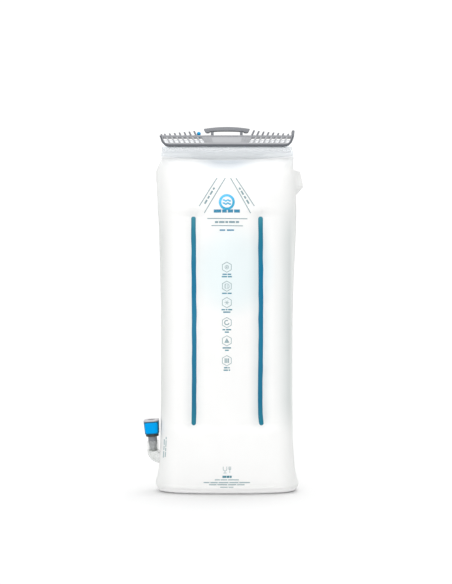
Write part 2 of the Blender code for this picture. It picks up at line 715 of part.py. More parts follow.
# ---------------------------------------------------------------- the port and its coupling
def elbow_path(overrun):
    """The elbow's centre line, from inside the bag up through the cuff; overrun lengthens both ends."""
    turn = 90 + math.degrees(TILT)
    bend = arc((ARM_BEND_X, PORT_Z + ELBOW_BEND), ELBOW_BEND, 270, 270 - turn, 9)
    end = Vector((bend[-1][0], 0, bend[-1][1]))
    along = Vector((math.sin(TILT), 0, math.cos(TILT)))
    top = end + along * (CUFF_LENGTH + overrun)
    return [(ARM_INNER_X + overrun, 0, PORT_Z)] + [(x, 0, z) for x, z in bend] + [tuple(top)]


def make_elbow(clear):
    elbow = baked(pipe("port_elbow", elbow_path(0.0), ELBOW_RADIUS, clear, resolution=6))
    flange = rod(
        "port_flange", (ARM_INNER_X - FLANGE_THICK, 0, PORT_Z), (ARM_INNER_X + 0.0001, 0, PORT_Z), FLANGE_RADIUS
    )
    combine(elbow, flange, "UNION")
    combine(elbow, baked(pipe("port_bore", elbow_path(0.004), ELBOW_BORE, None, resolution=6)), "DIFFERENCE")
    smooth(elbow)


def make_coupling(grey, pale, dark, blue, steel, rubber):
    top = elbow_path(0.0)[-1]
    axis = bpy.data.objects.new("coupling_axis", None)
    PARTS.objects.link(axis)
    axis.location = top
    axis.rotation_euler = (0, TILT, 0)
    make_coupling_body(grey, axis)
    make_button(blue, steel, axis)
    make_valve(pale, steel, rubber, axis)
    turned(
        "base_collar",
        [(COLLAR_RADIUS, COLLAR_HIGH), (COLLAR_RADIUS, COLLAR_LOW), (STEM_RADIUS + GAP, COLLAR_LOW),
         (STEM_RADIUS + GAP, COLLAR_HIGH)],
        dark, axis,
    )
    bezel = ring_loft(
        "socket_bezel",
        [rounded_ring(HEAD_X_HIGH + 0.0001, -HEAD_Y_HIGH - 0.0001, HEAD_Y_HIGH + 0.0001, HEAD_CORNER, z)
         for z in (BEZEL_LOW, BEZEL_HIGH - 0.0005)]
        + [rounded_ring(HEAD_X_HIGH - 0.0004, -HEAD_Y_HIGH + 0.0004, HEAD_Y_HIGH - 0.0004, HEAD_CORNER, BEZEL_HIGH)],
        pale, axis,
    )
    combine(bezel, rod("bezel_bore", (0, 0, 0.02), (0, 0, 0.03), SOCKET_RADIUS, parent=axis, sides=32), "DIFFERENCE")


def head_solid(name, wall, axis):
    """The coupling head's tapering outline, shrunk by wall; a shrunk one runs past both ends."""
    rings = []
    over = 0.003 if wall else 0.0
    for share in (0.0, 0.5, 1.0):
        height = HEAD_LOW - over + (HEAD_HIGH - HEAD_LOW + 2 * over) * share
        x = HEAD_X_LOW + (HEAD_X_HIGH - HEAD_X_LOW) * share - wall
        y = HEAD_Y_LOW + (HEAD_Y_HIGH - HEAD_Y_LOW) * share - wall
        rings.append(rounded_ring(x, -y, y, HEAD_CORNER - wall, height))
    return ring_loft(name, rings, parent=axis)


def make_coupling_body(grey, axis):
    """One moulding: barbed stem, valve and socket core, and the rear half of the head."""
    rings = []
    for share, height in ((0.0, HEAD_LOW), (1.0, HEAD_HIGH)):
        half = CORE_X_LOW + (CORE_X_HIGH - CORE_X_LOW) * share
        rings.append(rounded_ring(half, CORE_FRONT, CORE_REAR, 0.0030, height))
    body = ring_loft("coupling_body", rings, grey, axis)
    stem = turned(
        "coupling_stem",
        [(STEM_RADIUS, HEAD_LOW + 0.001), (STEM_RADIUS, -0.0015), (STEM_NECK, -0.0085), (STEM_NECK, -0.0100),
         (0.0053, -0.0104), (0.0053, -0.0116), (STEM_NECK, STEM_END), (0.0, STEM_END), (0.0, HEAD_LOW + 0.001)],
        None, axis,
    )
    combine(body, stem, "UNION")
    rear = head_solid("rear_shell", 0.0, axis)
    combine(rear, head_solid("rear_shell_hollow", HEAD_WALL, axis), "DIFFERENCE")
    combine(rear, block("rear_shell_cut", (-0.02, -0.02, -0.01), (0.02, 0.0024, 0.04), parent=axis), "DIFFERENCE")
    combine(body, baked(rear), "UNION")
    combine(body, turned(
        "coupling_bores",
        [(SOCKET_RADIUS, 0.030), (SOCKET_RADIUS, 0.0166), (0.00595, 0.0166), (0.00595, 0.0146),
         (SOCKET_RADIUS, 0.0146), (SOCKET_RADIUS, SOCKET_FLOOR), (THROAT_RADIUS, SOCKET_FLOOR),
         (THROAT_RADIUS, SEAT_HEIGHT), (CHAMBER_RADIUS, SEAT_HEIGHT), (CHAMBER_RADIUS, CHAMBER_FLOOR),
         (0.0029, CHAMBER_FLOOR), (0.0029, -0.020), (0.0, -0.020), (0.0, 0.030)],
        None, axis,
    ), "DIFFERENCE")
    slot = block(
        "latch_slot", (-0.0056, -0.02, LATCH_LOW - GAP), (0.0056, 0.0079, LATCH_LOW + LATCH_THICK + GAP), parent=axis
    )
    combine(body, slot, "DIFFERENCE")
    for i, x in enumerate((-POCKET_X, POCKET_X)):
        pocket = rod(f"spring_pocket_{i}", (x, -0.02, POCKET_Z), (x, POCKET_END, POCKET_Z), POCKET_RADIUS,
                     parent=axis, sides=16)
        combine(body, pocket, "DIFFERENCE")


def make_button(blue, steel, axis):
    """The release button: the front half of the head, which pushes the latch plate back."""
    button = head_solid("release_button", 0.0, axis)
    button.data.materials.append(blue)
    combine(button, head_solid("button_hollow", HEAD_WALL, axis), "DIFFERENCE")
    combine(button, block("button_cut", (-0.02, -0.0004, -0.01), (0.02, 0.02, 0.04), parent=axis), "DIFFERENCE")
    combine(button, block("button_foot", (-0.02, -0.02, 0.0), (0.02, 0.02, HEAD_LOW + 0.0004), parent=axis), "DIFFERENCE")
    combine(button, block("button_head", (-0.02, -0.02, HEAD_HIGH - 0.0003), (0.02, 0.02, 0.04), parent=axis), "DIFFERENCE")
    plate = ring_loft(
        "latch_plate",
        [rounded_ring(0.0052, -0.0081, 0.0058, 0.0015, z) for z in (LATCH_LOW, LATCH_LOW + LATCH_THICK)],
        steel, axis,
    )
    hole = rod("latch_hole", (0, -0.0008, 0.017), (0, -0.0008, 0.023), 0.0047, parent=axis, sides=32)
    combine(plate, hole, "DIFFERENCE")
    for side, x in (("left", -POCKET_X), ("right", POCKET_X)):
        coil("button_spring_" + side, (x, -0.0076, POCKET_Z), (0, 1, 0), 0.0083, 0.00085, 5, 0.0002, steel, axis)


def coil(name, start, direction, length, radius, turns, wire, finish, parent, per_turn=8):
    """A round-wire spring standing on start and rising along direction."""
    forward = Vector(direction)
    side = forward.orthogonal().normalized()
    other = forward.cross(side)
    count = turns * per_turn
    points = []
    for i in range(count + 1):
        angle = 2 * math.pi * i / per_turn
        ring = side * math.cos(angle) + other * math.sin(angle)
        points.append(Vector(start) + forward * (length * i / count) + ring * radius)
    pipe(name, points, wire, finish, parent, resolution=1)


def ring_seal(name, radius, section, height, rubber, axis):
    """A round-section rubber ring lying square to the axis."""
    profile = arc((radius, height), section, 90, -270, 9)[:-1]
    smooth(turned(name, profile, rubber, axis, sides=24))


def make_valve(pale, steel, rubber, axis):
    """The shut-off valve in the stem, and the seal that grips the hose plug."""
    ring_seal("socket_seal", 0.0050, 0.0007, 0.0156, rubber, axis)
    turned(
        "valve_poppet",
        [(0.0, 0.0173), (0.0011, 0.0173), (0.0014, 0.0168), (0.0014, 0.0092), (0.0030, 0.0092), (0.0030, 0.0078),
         (0.0012, 0.0078), (0.0012, 0.0028), (0.0, 0.0028)],
        pale, axis, sides=24,
    )
    ring_seal("poppet_seal", 0.00255, 0.00045, 0.0099, rubber, axis)
    coil("poppet_spring", (0, 0, -0.0044), (0, 0, 1), 0.0116, 0.0021, 6, 0.00028, steel, axis)
    turned(
        "spring_retainer",
        [(0.0032, -0.0050), (0.0032, -0.0064), (0.0015, -0.0064), (0.0015, -0.0050)],
        pale, axis, sides=24,
    )


# ---------------------------------------------------------------- assembly
def main():
    film = material("frosted_film", (0.93, 0.94, 0.94), 0.42)
    clear = material("clear_band", (0.90, 0.92, 0.93), 0.18)
    web_film = material("web_film", (0.80, 0.90, 0.93), 0.45)
    strip = material("weld_strip_blue", (0.05, 0.33, 0.45), 0.40)
    grey = material("slider_grey", (0.42, 0.42, 0.43), 0.45)
    dark = material("grip_dark_grey", (0.17, 0.17, 0.18), 0.60)
    blue = material("button_blue", (0.0, 0.42, 0.85), 0.35)
    pale = material("valve_pale_grey", (0.72, 0.72, 0.73), 0.40)
    steel = material("spring_steel", (0.60, 0.60, 0.61), 0.28, 1.0)
    rubber = material("seal_rubber", (0.05, 0.05, 0.06), 0.70)

    make_panels(film)
    make_gussets(film)
    make_base(film)
    make_baffles(web_film, strip)
    make_bands(clear)
    make_slider(grey)
    make_hanger(dark)
    make_stud(blue)
    make_elbow(clear)
    make_coupling(grey, pale, dark, blue, steel, rubber)


clear_scene()
PARTS = collection("hydration_bladder")
CUTTERS = collection("cutters")
main()
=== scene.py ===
import math

import bmesh
import bpy
import numpy as np
from mathutils import Matrix, Vector


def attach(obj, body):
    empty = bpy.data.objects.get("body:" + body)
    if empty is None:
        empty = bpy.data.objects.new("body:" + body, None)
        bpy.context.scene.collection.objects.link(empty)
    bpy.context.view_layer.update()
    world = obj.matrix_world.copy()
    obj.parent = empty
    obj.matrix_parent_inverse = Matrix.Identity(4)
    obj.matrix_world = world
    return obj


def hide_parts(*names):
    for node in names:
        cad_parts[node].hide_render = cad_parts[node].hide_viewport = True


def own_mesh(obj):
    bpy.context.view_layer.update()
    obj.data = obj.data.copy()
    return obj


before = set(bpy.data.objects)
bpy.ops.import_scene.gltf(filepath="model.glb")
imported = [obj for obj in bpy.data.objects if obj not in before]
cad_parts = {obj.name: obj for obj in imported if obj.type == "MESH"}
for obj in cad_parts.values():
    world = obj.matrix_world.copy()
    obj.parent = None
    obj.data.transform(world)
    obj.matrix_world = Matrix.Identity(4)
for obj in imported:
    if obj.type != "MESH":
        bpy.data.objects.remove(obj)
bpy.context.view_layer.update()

# ---- sizes, in metres; those of the solids are the CAD's
FILM, GAP, LAP, BAND = 0.0007, 0.0003, 0.001, 0.0008
# height, half width on the left and on the right, half depth, squareness of the section
STATIONS = np.array((
    (0.0000, 0.0780, 0.0790, 0.0210, 2.7), (0.0012, 0.0829, 0.0839, 0.0240, 2.7),
    (0.0035, 0.0863, 0.0876, 0.0262, 2.7), (0.0070, 0.0884, 0.0894, 0.0280, 2.7),
    (0.0105, 0.0889, 0.0897, 0.0289, 2.7), (0.0140, 0.0884, 0.0885, 0.0295, 2.7),
    (0.0200, 0.0869, 0.0868, 0.0302, 2.7), (0.0250, 0.0858, 0.0858, 0.0305, 2.7),
    (0.0400, 0.0842, 0.0842, 0.0310, 2.7), (0.0620, 0.0831, 0.0829, 0.0310, 2.7),
    (0.1000, 0.0824, 0.0820, 0.0310, 2.7), (0.1700, 0.0823, 0.0820, 0.0310, 2.7),
    (0.2300, 0.0825, 0.0826, 0.0310, 2.7), (0.2600, 0.0831, 0.0836, 0.0310, 2.7),
    (0.2950, 0.0839, 0.0852, 0.0310, 2.7), (0.3250, 0.0848, 0.0865, 0.0310, 2.7),
    (0.3500, 0.0864, 0.0870, 0.0305, 2.7), (0.3740, 0.0875, 0.0856, 0.0284, 2.8),
    (0.3880, 0.0877, 0.0846, 0.0245, 3.0), (0.3955, 0.0874, 0.0838, 0.0205, 3.2),
    (0.4000, 0.0866, 0.0832, 0.0170, 3.6), (0.4050, 0.0844, 0.0830, 0.0126, 4.5),
    (0.4095, 0.0820, 0.0830, 0.0070, 7.0), (0.4120, 0.0814, 0.0828, 0.0036, 10.0),
    (0.4150, 0.0812, 0.0824, 0.0021, 12.0), (0.4210, 0.0811, 0.0820, 0.0021, 12.0),
))
PANEL_LOW, PANEL_HIGH, GUSSET_TOP = 0.007, 0.4205, 0.412
WELD_LOW, WELD_HIGH, WELD_FADE = 0.086, 0.337, 0.011
WELD_PULL, WELD_REACH, VALLEY_FLAT = 0.0065, 0.013, 0.0029
# the visible weld lines are a little wider and longer than the CAD's, as in the photograph
STRIP_HALF, STRIP_LOW, STRIP_HIGH = 0.0029, 0.0838, 0.3378
STRIP_UNDER, STRIP_EDGE, STRIP_CROWN = 0.00008, 0.00012, 0.00052  # heights above the film
# where each baffle weld wanders to: height, left, right
WELD_PATH = np.array((
    (0.0850, -0.0402, 0.0421), (0.0980, -0.0400, 0.0409), (0.1150, -0.0398, 0.0404),
    (0.1700, -0.0396, 0.0412), (0.2300, -0.0398, 0.0415), (0.2900, -0.0403, 0.0412),
    (0.3370, -0.0406, 0.0411),
))
# beyond FLAT_EDGE the surface is counted in steps; step SIDE_STEPS is the middle of the side
FLAT_EDGE, SIDE_STEPS, PANEL_EDGE = 0.058, 6.0, 4.0
# tabs on the sides' edges: height and how far they stand out, then their share at each step
LEFT_EAR = np.array(((0.3765, 0.0), (0.3870, 0.0009), (0.3955, 0.0012), (0.4015, 0.0)))
RIGHT_EAR = np.array(((0.3590, 0.0), (0.3660, 0.0006), (0.3765, 0.0106), (0.3870, 0.0090),
                      (0.3955, 0.0082), (0.3980, 0.0)))
EAR_SHARE = np.array(((3.3, 0.0), (4.0, 0.0), (4.8, 0.05), (5.5, 0.35), (5.82, 0.72), (6.0, 1.0)))
PORT_Z, PORT_RADIUS = 0.0415, 0.0078
BAND_HALF, BAND_SIDE_LOW, BAND_MID_LOW, BAND_CORNER = 0.0803, 0.419, 0.4105, 0.004
BAND_Y, FOLD_Y, FOLD_Z, FOLD_END = 0.00055, 0.00205, 0.432, 0.4286
BAND_MILKY = 0.4262  # the slider hides the band above this height
RING_BAND = (0.0488, 0.0512)  # the dark ring at the foot of the coupling's stem
TILT = math.radians(-4.0)
COUPLING = Matrix.Translation((-0.091858, 0.0, 0.061976)) @ Matrix.Rotation(TILT, 4, "Y")
HEAD_LOW, HEAD_HIGH, HEAD_CORNER = 0.0086, 0.024, 0.0042
ELBOW_BEND, ELBOW_RADIUS, ELBOW_BORE, FLANGE_RADIUS = 0.0085, 0.0075, 0.0058, 0.0125
ARM_INNER_X, ARM_BEND_X = -0.0755, -0.0825
HEAD_HALF, HEAD_FLARE, FACE_Y, FACE_FLARE = 0.0085, 0.0007, 0.0092, 0.001
# the frosting ends along this arc under the mouth
ARC_MID, ARC_RISE, ARC_HALF = 0.4083, 0.0053, 0.075
# creases from the corners of the mouth and of the base: start, end, width, height
CREASES = (
    ((0.0755, 0.4090), (0.0500, 0.3700), 0.0022, 0.00060),
    ((0.0600, 0.4080), (0.0430, 0.3860), 0.0018, 0.00035),
    ((0.0790, 0.4030), (0.0740, 0.3640), 0.0020, 0.00055),
    ((0.0820, 0.0110), (0.0600, 0.0420), 0.0026, 0.00050),
    ((0.0800, 0.0200), (0.0720, 0.0600), 0.0024, 0.00035),
    ((0.0640, 0.0090), (0.0480, 0.0250), 0.0022, 0.00030),
)
MOUTH_LINES = (0.414, 0.4166, 0.4194)
# rows of the film's grid: from, to, spacing
ROWS = ((0.0070, 0.0140, 0.0010), (0.0140, 0.0400, 0.0020), (0.0400, 0.0800, 0.0028),
        (0.0800, 0.0940, 0.0016), (0.0940, 0.3280, 0.0032), (0.3280, 0.3450, 0.0016),
        (0.3450, 0.3600, 0.0024), (0.3600, 0.4000, 0.0014), (0.4000, 0.4084, 0.0010),
        (0.4084, 0.4205, 0.00045))
GUSSET_STEPS = (3.3, 3.6, 4.0, 4.4, 4.8, 5.1, 5.35, 5.5, 5.65, 5.82, 5.92)
# rings of the base film: heights and laps inside the wall, then the scales of the flat below
BASE_WALL = ((0.0136, 2.0), (0.0120, 2.0), (0.0095, 2.0), (0.0070, 2.0), (0.0055, 1.7),
             (0.0040, 1.4), (0.0027, 1.05), (0.0014, 0.7), (0.0006, 0.3))
BASE_FLAT = (1, 0.96, 0.85, 0.62, 0.3)
SLIDER_HALF, SLIDER_LOW, SLIDER_TOP, SLIDER_CORNER = 0.0834, 0.4258, 0.4388, 0.0105
SLIDER_Y, SLOT_LEAN = 0.0069, 0.486
RIB_COUNT, RIB_START, RIB_PITCH, RIB_LOW, RIB_HIGH = 8, 0.0172, 0.00146, 0.4305, 0.4367
PLAQUE_HALF, PLAQUE_LOW, PLAQUE_HIGH, PLAQUE_CORNER = 0.0182, 0.4303, 0.4369, 0.0022
PAD_HALF, PAD_CORNER, PAD_INSET = 0.0077, 0.0024, (0.0014, 0.0013)


# ---- the film's surface
def ease(value):
    value = np.clip(value, 0.0, 1.0)
    return value * value * (3 - 2 * value)


def gauss(distance, width):
    return np.exp(-((distance / width) ** 2))


def station(z, side):
    """Half width on the given side, half depth and squareness of the bag, at arrays of heights."""
    heights, table = STATIONS[:, 0], STATIONS[:, 1:]
    slopes = np.gradient(table, heights, axis=0)
    z = np.clip(z, heights[0], heights[-1])
    i = np.clip(np.searchsorted(heights, z, side="right") - 1, 0, len(heights) - 2)
    span = (heights[i + 1] - heights[i])[..., None]
    t = (z - heights[i])[..., None] / span
    chord = (table[i + 1] - table[i]) / span
    limit = 3 * np.abs(chord)
    first = np.where(chord * slopes[i] > 0, np.clip(slopes[i], -limit, limit), 0.0)
    last = np.where(chord * slopes[i + 1] > 0, np.clip(slopes[i + 1], -limit, limit), 0.0)
    v = ((1 + 2 * t) * (1 - t) ** 2 * table[i] + t * (1 - t) ** 2 * span * first
         + t * t * (3 - 2 * t) * table[i + 1] + t * t * (t - 1) * span * last)
    return np.where(np.broadcast_to(side, z.shape) < 0, v[..., 0], v[..., 1]), v[..., 2], v[..., 3]


def weld_x(side, z):
    return np.interp(z, WELD_PATH[:, 0], WELD_PATH[:, 1 if side < 0 else 2])


def weld_pull(x, z):
    """How far the baffle welds hold the film back."""
    along = np.minimum(z - (WELD_LOW - WELD_FADE), (WELD_HIGH + WELD_FADE) - z) / WELD_FADE
    away = np.abs(x - np.where(x < 0, weld_x(-1, z), weld_x(1, z)))
    return WELD_PULL * ease(along) * np.exp(-np.maximum(away - VALLEY_FLAT, 0.0) / WELD_REACH)


def swept(u, z):
    """The plain front surface. |u| up to FLAT_EDGE is x itself; beyond it u counts flank steps."""
    side = np.where(u < 0, -1.0, 1.0)
    half_width, half_depth, square = station(z, side)
    step = np.abs(u) - FLAT_EDGE
    past = step > 0
    step = np.where(past, step * 1000, 0.0)  # u grows by 0.001 for each flank step
    face = np.where(step > SIDE_STEPS, 1.0, -1.0)
    step = np.minimum(step, 2 * SIDE_STEPS - step)
    first = np.arcsin((FLAT_EDGE / half_width) ** (square / 2))
    angle = first + (math.pi / 2 - first) * step / SIDE_STEPS
    x_flank = side * half_width * np.sin(angle) ** (2 / square)
    x = np.where(past, x_flank, u)
    fullness = (1 - np.clip(np.abs(u) / half_width, 0, 1) ** square) ** (1 / square)
    y_flat = half_depth * fullness - weld_pull(x, z)
    y_flank = half_depth * np.maximum(np.cos(angle), 0.0) ** (2 / square) - weld_pull(x, z) * (
        1 - step / SIDE_STEPS)
    y = np.where(past, face * np.maximum(y_flank, 0.0), -y_flat)
    return np.stack([x, y, z], -1)


def crease(x, z, start, end, width):
    """1 along a line on the film, fading across it and at both ends."""
    a, b = np.array(start), np.array(end)
    along = ((x - a[0]) * (b - a)[0] + (z - a[1]) * (b - a)[1]) / ((b - a) @ (b - a))
    clipped = np.clip(along, 0, 1)
    away = np.hypot(x - a[0] - clipped * (b - a)[0], z - a[1] - clipped * (b - a)[1])
    return gauss(away, width) * (0.15 + 0.85 * ease(1.15 - clipped))


def relief(x, z, rear):
    """How far the slack film stands out from its swept shape: hollows, puckers and creases."""
    turn, lean = (2.1, 0.93) if rear else (0.0, 1.0)
    body = ease((z - 0.01) / 0.03) * (1 - ease((z - 0.385) / 0.022))
    out = body * 0.00032 * np.sin(x * 88 + z * 31 + 1.3 + turn) * np.sin(z * 58 + 0.7 + turn)
    out = out + body * 0.00016 * np.sin(x * 190 - z * 64 + 0.4 + turn) * np.sin(
        z * 133 + x * 40 + turn)
    # the hollow pressed in below the middle of the mouth
    rise = np.clip((z - 0.3845) / 0.0255, 0, 1)
    hollow = gauss(x + 0.0015, 0.0055 + 0.02 * rise) * ease(rise * 1.5)
    hollow = hollow * (1 - ease((z - 0.4075) / 0.0035))
    out = out - (0.0014 if rear else 0.0026) * hollow
    # puckers around the ends of the welds, and short ones along them
    for side in (-1, 1):
        for end, way in ((WELD_LOW, -1), (WELD_HIGH, 1)):
            dx, dz = x - weld_x(side, end), (z - end) * way
            r, theta = np.hypot(dx, dz), np.arctan2(dx, dz)
            near = 0.00036 * np.exp(-r / 0.013) * ease(r / 0.005) * ease((dz + 0.003) / 0.008)
            out = out + near * np.cos(5 * theta + 0.5 * side + turn)
        away = np.abs(x - weld_x(side, z))
        free = np.maximum(away - VALLEY_FLAT, 0.0)
        window = ease((z - WELD_LOW - 0.004) / 0.012) * ease((WELD_HIGH - 0.004 - z) / 0.012)
        wander = 1.1 * np.sin(z * 71 + side) + 2.0 * (x > weld_x(side, z))
        ripple = np.sin(z * 2 * math.pi / 0.017 + wander)
        fade = np.exp(-free / 0.0085) * (1 - np.exp(-free / 0.0025))
        out = out + 0.0002 * window * fade * ripple
        for start, end, width, high in CREASES:
            a, b = (side * start[0] * lean, start[1]), (side * end[0] * lean, end[1])
            out = out + high * (crease(x, z, a, b, width) - 0.55 * crease(x, z, a, b, width * 2.4))
    # faint lines pressed across the mouth, and a groove along the seam at the base
    if not rear:
        across = 1 - ease((np.abs(x) - 0.04) / 0.005)
        for line in MOUTH_LINES:
            out = out + 0.00014 * gauss(z - line, 0.00045) * across
    return out - 0.00018 * gauss(z - (PANEL_LOW + 0.005), 0.0008)


def normal_of(u, z):
    """Outward normals of the swept surface, by central differences."""
    du = np.where(np.abs(u) > FLAT_EDGE, 2e-5, 2e-4)
    low, high = np.maximum(z - 4e-4, 0.0), np.minimum(z + 4e-4, STATIONS[-1, 0])
    n = np.cross(swept(u + du, z) - swept(u - du, z), swept(u, high) - swept(u, low))
    return n / np.maximum(np.linalg.norm(n, axis=-1, keepdims=True), 1e-12)


def film_point(u, z, lift=0.0, rear=False):
    """The film's outer face with its relief, lift metres further out."""
    u, z = np.broadcast_arrays(np.asarray(u, float), np.asarray(z, float))
    p = swept(u, z)
    p = p + normal_of(u, z) * (relief(p[..., 0], z, rear) + lift)[..., None]
    return p * (1, -1, 1) if rear else p


def lapped(u, height, laps=1):
    """Points of the swept surface at one height, moved inwards by some laps of film."""
    z = np.full_like(u, height)
    row, n = swept(u, z), normal_of(u, z)
    n = np.where((n * (row * (1, 4, 0))).sum(-1, keepdims=True) < 0, -n, n)
    return row - n * LAP * laps


# ---- mesh helpers
def add_object(name, data):
    made = bpy.data.objects.new(name, data)
    bpy.context.scene.collection.objects.link(made)
    return made


def mesh_object(name, points, faces, finish, smooth=True):
    mesh = bpy.data.meshes.new(name)
    mesh.from_pydata([tuple(map(float, p)) for p in points], [], faces)
    mesh.materials.append(finish)
    if smooth:
        mesh.shade_smooth()
    return add_object(name, mesh)


def grid_faces(rows, columns, closed=False):
    wrap = columns if closed else columns - 1
    return [(r * columns + c, r * columns + (c + 1) % columns,
             (r + 1) * columns + (c + 1) % columns, (r + 1) * columns + c)
            for r in range(rows - 1) for c in range(wrap)]


def shell(name, grid, thickness, finish, offset):
    """A closed thin solid from a sheet through a grid of points."""
    faces = grid_faces(*grid.shape[:2])
    return thicken(mesh_object(name, grid.reshape(-1, 3), faces, finish), thickness, offset)


def thicken(sheet, thickness, offset):
    solid = sheet.modifiers.new("thickness", "SOLIDIFY")
    solid.thickness, solid.offset = thickness, offset
    return apply_modifiers(sheet)


def apply_modifiers(thing):
    """Turns the object's modified shape into its plain mesh, with clean, outward normals."""
    graph = bpy.context.evaluated_depsgraph_get()
    mesh = bpy.data.meshes.new_from_object(thing.evaluated_get(graph), depsgraph=graph)
    thing.modifiers.clear()
    thing.data = mesh
    work = bmesh.new()
    work.from_mesh(mesh)
    bmesh.ops.recalc_face_normals(work, faces=work.faces)
    work.to_mesh(mesh)
    work.free()
    mesh.shade_smooth()
    mesh.set_sharp_from_angle(angle=math.radians(50))
    return thing


def stacked(name, rings, finish, apply=True):
    """A closed solid through a stack of rings with the same number of points."""
    count = len(rings[0])
    points = [q for ring in rings for q in ring]
    faces = grid_faces(len(rings), count, closed=True)
    faces += [tuple(range(count))[::-1], tuple(range(len(points) - count, len(points)))]
    made = mesh_object(name, points, faces, finish)
    return apply_modifiers(made) if apply else made


def ellipse(across, up, count):
    return [(across * math.cos(a), up * math.sin(a))
            for a in np.linspace(0, 2 * math.pi, count + 1)[:-1]]


def heading(path, i):
    """The direction of a path at its point i."""
    return (path[min(i + 1, len(path) - 1)] - path[max(i - 1, 0)]).normalized()


def sweep(name, path, section, finish, up):
    """A closed solid that carries a section, (sideways, up) pairs, along a path."""
    path = [Vector(p) for p in path]
    rings = []
    for i, p in enumerate(path):
        ahead = heading(path, i)
        side = ahead.cross(Vector(up)).normalized()
        lift = side.cross(ahead).normalized()
        rings.append([p + side * a + lift * b for a, b in section])
    return stacked(name, rings, finish)


def mark_edge(thing, values):
    """Stores how near each point is to a marked edge, 0 to 1, for the materials to read."""
    thing.data.attributes.new("edge", "FLOAT", "POINT").data.foreach_set("value", values)


def put(piece, body, slot, *replaced):
    """Rides and hides the CAD solids that the piece stands for; slot is not used."""
    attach(piece, body)
    if replaced:
        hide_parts(*replaced)
    return piece


# ---- materials
class Paint:
    """A procedural material on one Principled shader, with textures in the object's own metres."""

    def __init__(self, name, colour, roughness, **sockets):
        self.made = bpy.data.materials.new(name)
        self.made.use_nodes = True
        self.tree = self.made.node_tree
        self.shader = self.tree.nodes["Principled BSDF"]
        for socket, value in {"Base_Color": colour, "Roughness": roughness, **sockets}.items():
            self.give(socket.replace("_", " "), value)
        self.place = self.add("TexCoord").outputs["Object"]

    def feed(self, socket, value):
        """Links a socket to another socket, or sets it to a number or a colour."""
        if isinstance(value, bpy.types.NodeSocket):
            self.tree.links.new(value, socket)
        else:
            socket.default_value = (*value, 1) if socket.type == "RGBA" else value

    def give(self, socket, value):
        self.feed(self.shader.inputs[socket], value)
        return self

    def add(self, kind, inputs=None, **settings):
        """A new node with its settings, and with numbers or links on its inputs."""
        node = self.tree.nodes.new("ShaderNode" + kind)
        for key, value in settings.items():
            setattr(node, key, value)
        for key, value in (inputs or {}).items():
            self.feed(node.inputs[key], value)
        return node

    def axis(self, name):
        return self.add("SeparateXYZ", {0: self.place}).outputs[name]

    def edges(self):
        """What mark_edge stored on the mesh."""
        return self.add("Attribute", attribute_name="edge").outputs["Fac"]

    def noise(self, scale, detail=3.0, roughness=0.55, stretch=None):
        where = self.place
        if stretch:
            where = self.add("Mapping", {"Vector": where, "Scale": stretch}).outputs[0]
        return self.add("TexNoise", {"Vector": where, "Scale": scale, "Detail": detail,
                                     "Roughness": roughness}).outputs["Fac"]

    def math(self, operation, *values):
        return self.add("Math", dict(enumerate(values)), operation=operation).outputs[0]

    def times(self, a, b):
        return self.math("MULTIPLY", a, b)

    def plus(self, a, b):
        return self.math("ADD", a, b)

    def minus(self, a, b):
        return self.math("SUBTRACT", a, b)

    def off(self, value, centre=0.0):
        """The distance of a value from a centre."""
        return self.math("ABSOLUTE", self.minus(value, centre) if centre else value)

    def span(self, value, low, high, to_low=0.0, to_high=1.0, smooth=True):
        """Carries low to high over to another pair of values, and stops there."""
        ends = {"From Min": low, "From Max": high, "To Min": to_low, "To Max": to_high}
        return self.add("MapRange", {"Value": value, **ends},
                        interpolation_type="SMOOTHSTEP" if smooth else "LINEAR").outputs["Result"]

    def between(self, value, a, b, c, d):
        """1 from b to c, fading to 0 at a and at d."""
        return self.times(self.span(value, a, b), self.span(value, c, d, 1.0, 0.0))

    def mix(self, factor, a, b):
        return self.add("Mix", {0: factor, 6: a, 7: b}, data_type="RGBA").outputs[2]

    def ramp(self, value, stops):
        node = self.add("ValToRGB", {0: value})
        marks = node.color_ramp.elements
        marks[0].position, marks[0].color = stops[0][0], (*stops[0][1], 1)
        marks[1].position, marks[1].color = stops[-1][0], (*stops[-1][1], 1)
        for position, colour in stops[1:-1]:
            marks.new(position).color = (*colour, 1)
        return node.outputs[0]

    def colour(self, source):
        return self.give("Base Color", source)

    def rough(self, source, low, high):
        return self.give("Roughness", self.span(source, 0.3, 0.7, low, high))

    def bump(self, *layers):
        """layers: (height socket, strength, distance in metres), stacked."""
        under = {}
        for height, strength, distance in layers:
            node = self.add("Bump", {"Height": height, "Strength": strength,
                                     "Distance": distance, **under})
            under = {"Normal": node.outputs[0]}
        return self.give("Normal", under["Normal"])

    def see_through(self, share):
        """Mixes in a Transparent shader by a socket that is 1 where the face is wholly clear."""
        clear = self.add("BsdfTransparent").outputs[0]
        mixer = self.add("MixShader", {0: share, 1: self.shader.outputs[0], 2: clear})
        self.feed(self.tree.nodes["Material Output"].inputs[0], mixer.outputs[0])
        return self


def srgb(value):
    value = value / 255
    return value / 12.92 if value <= 0.04045 else ((value + 0.055) / 1.055) ** 2.4


def rgb(r, g, b):
    return srgb(r), srgb(g), srgb(b)


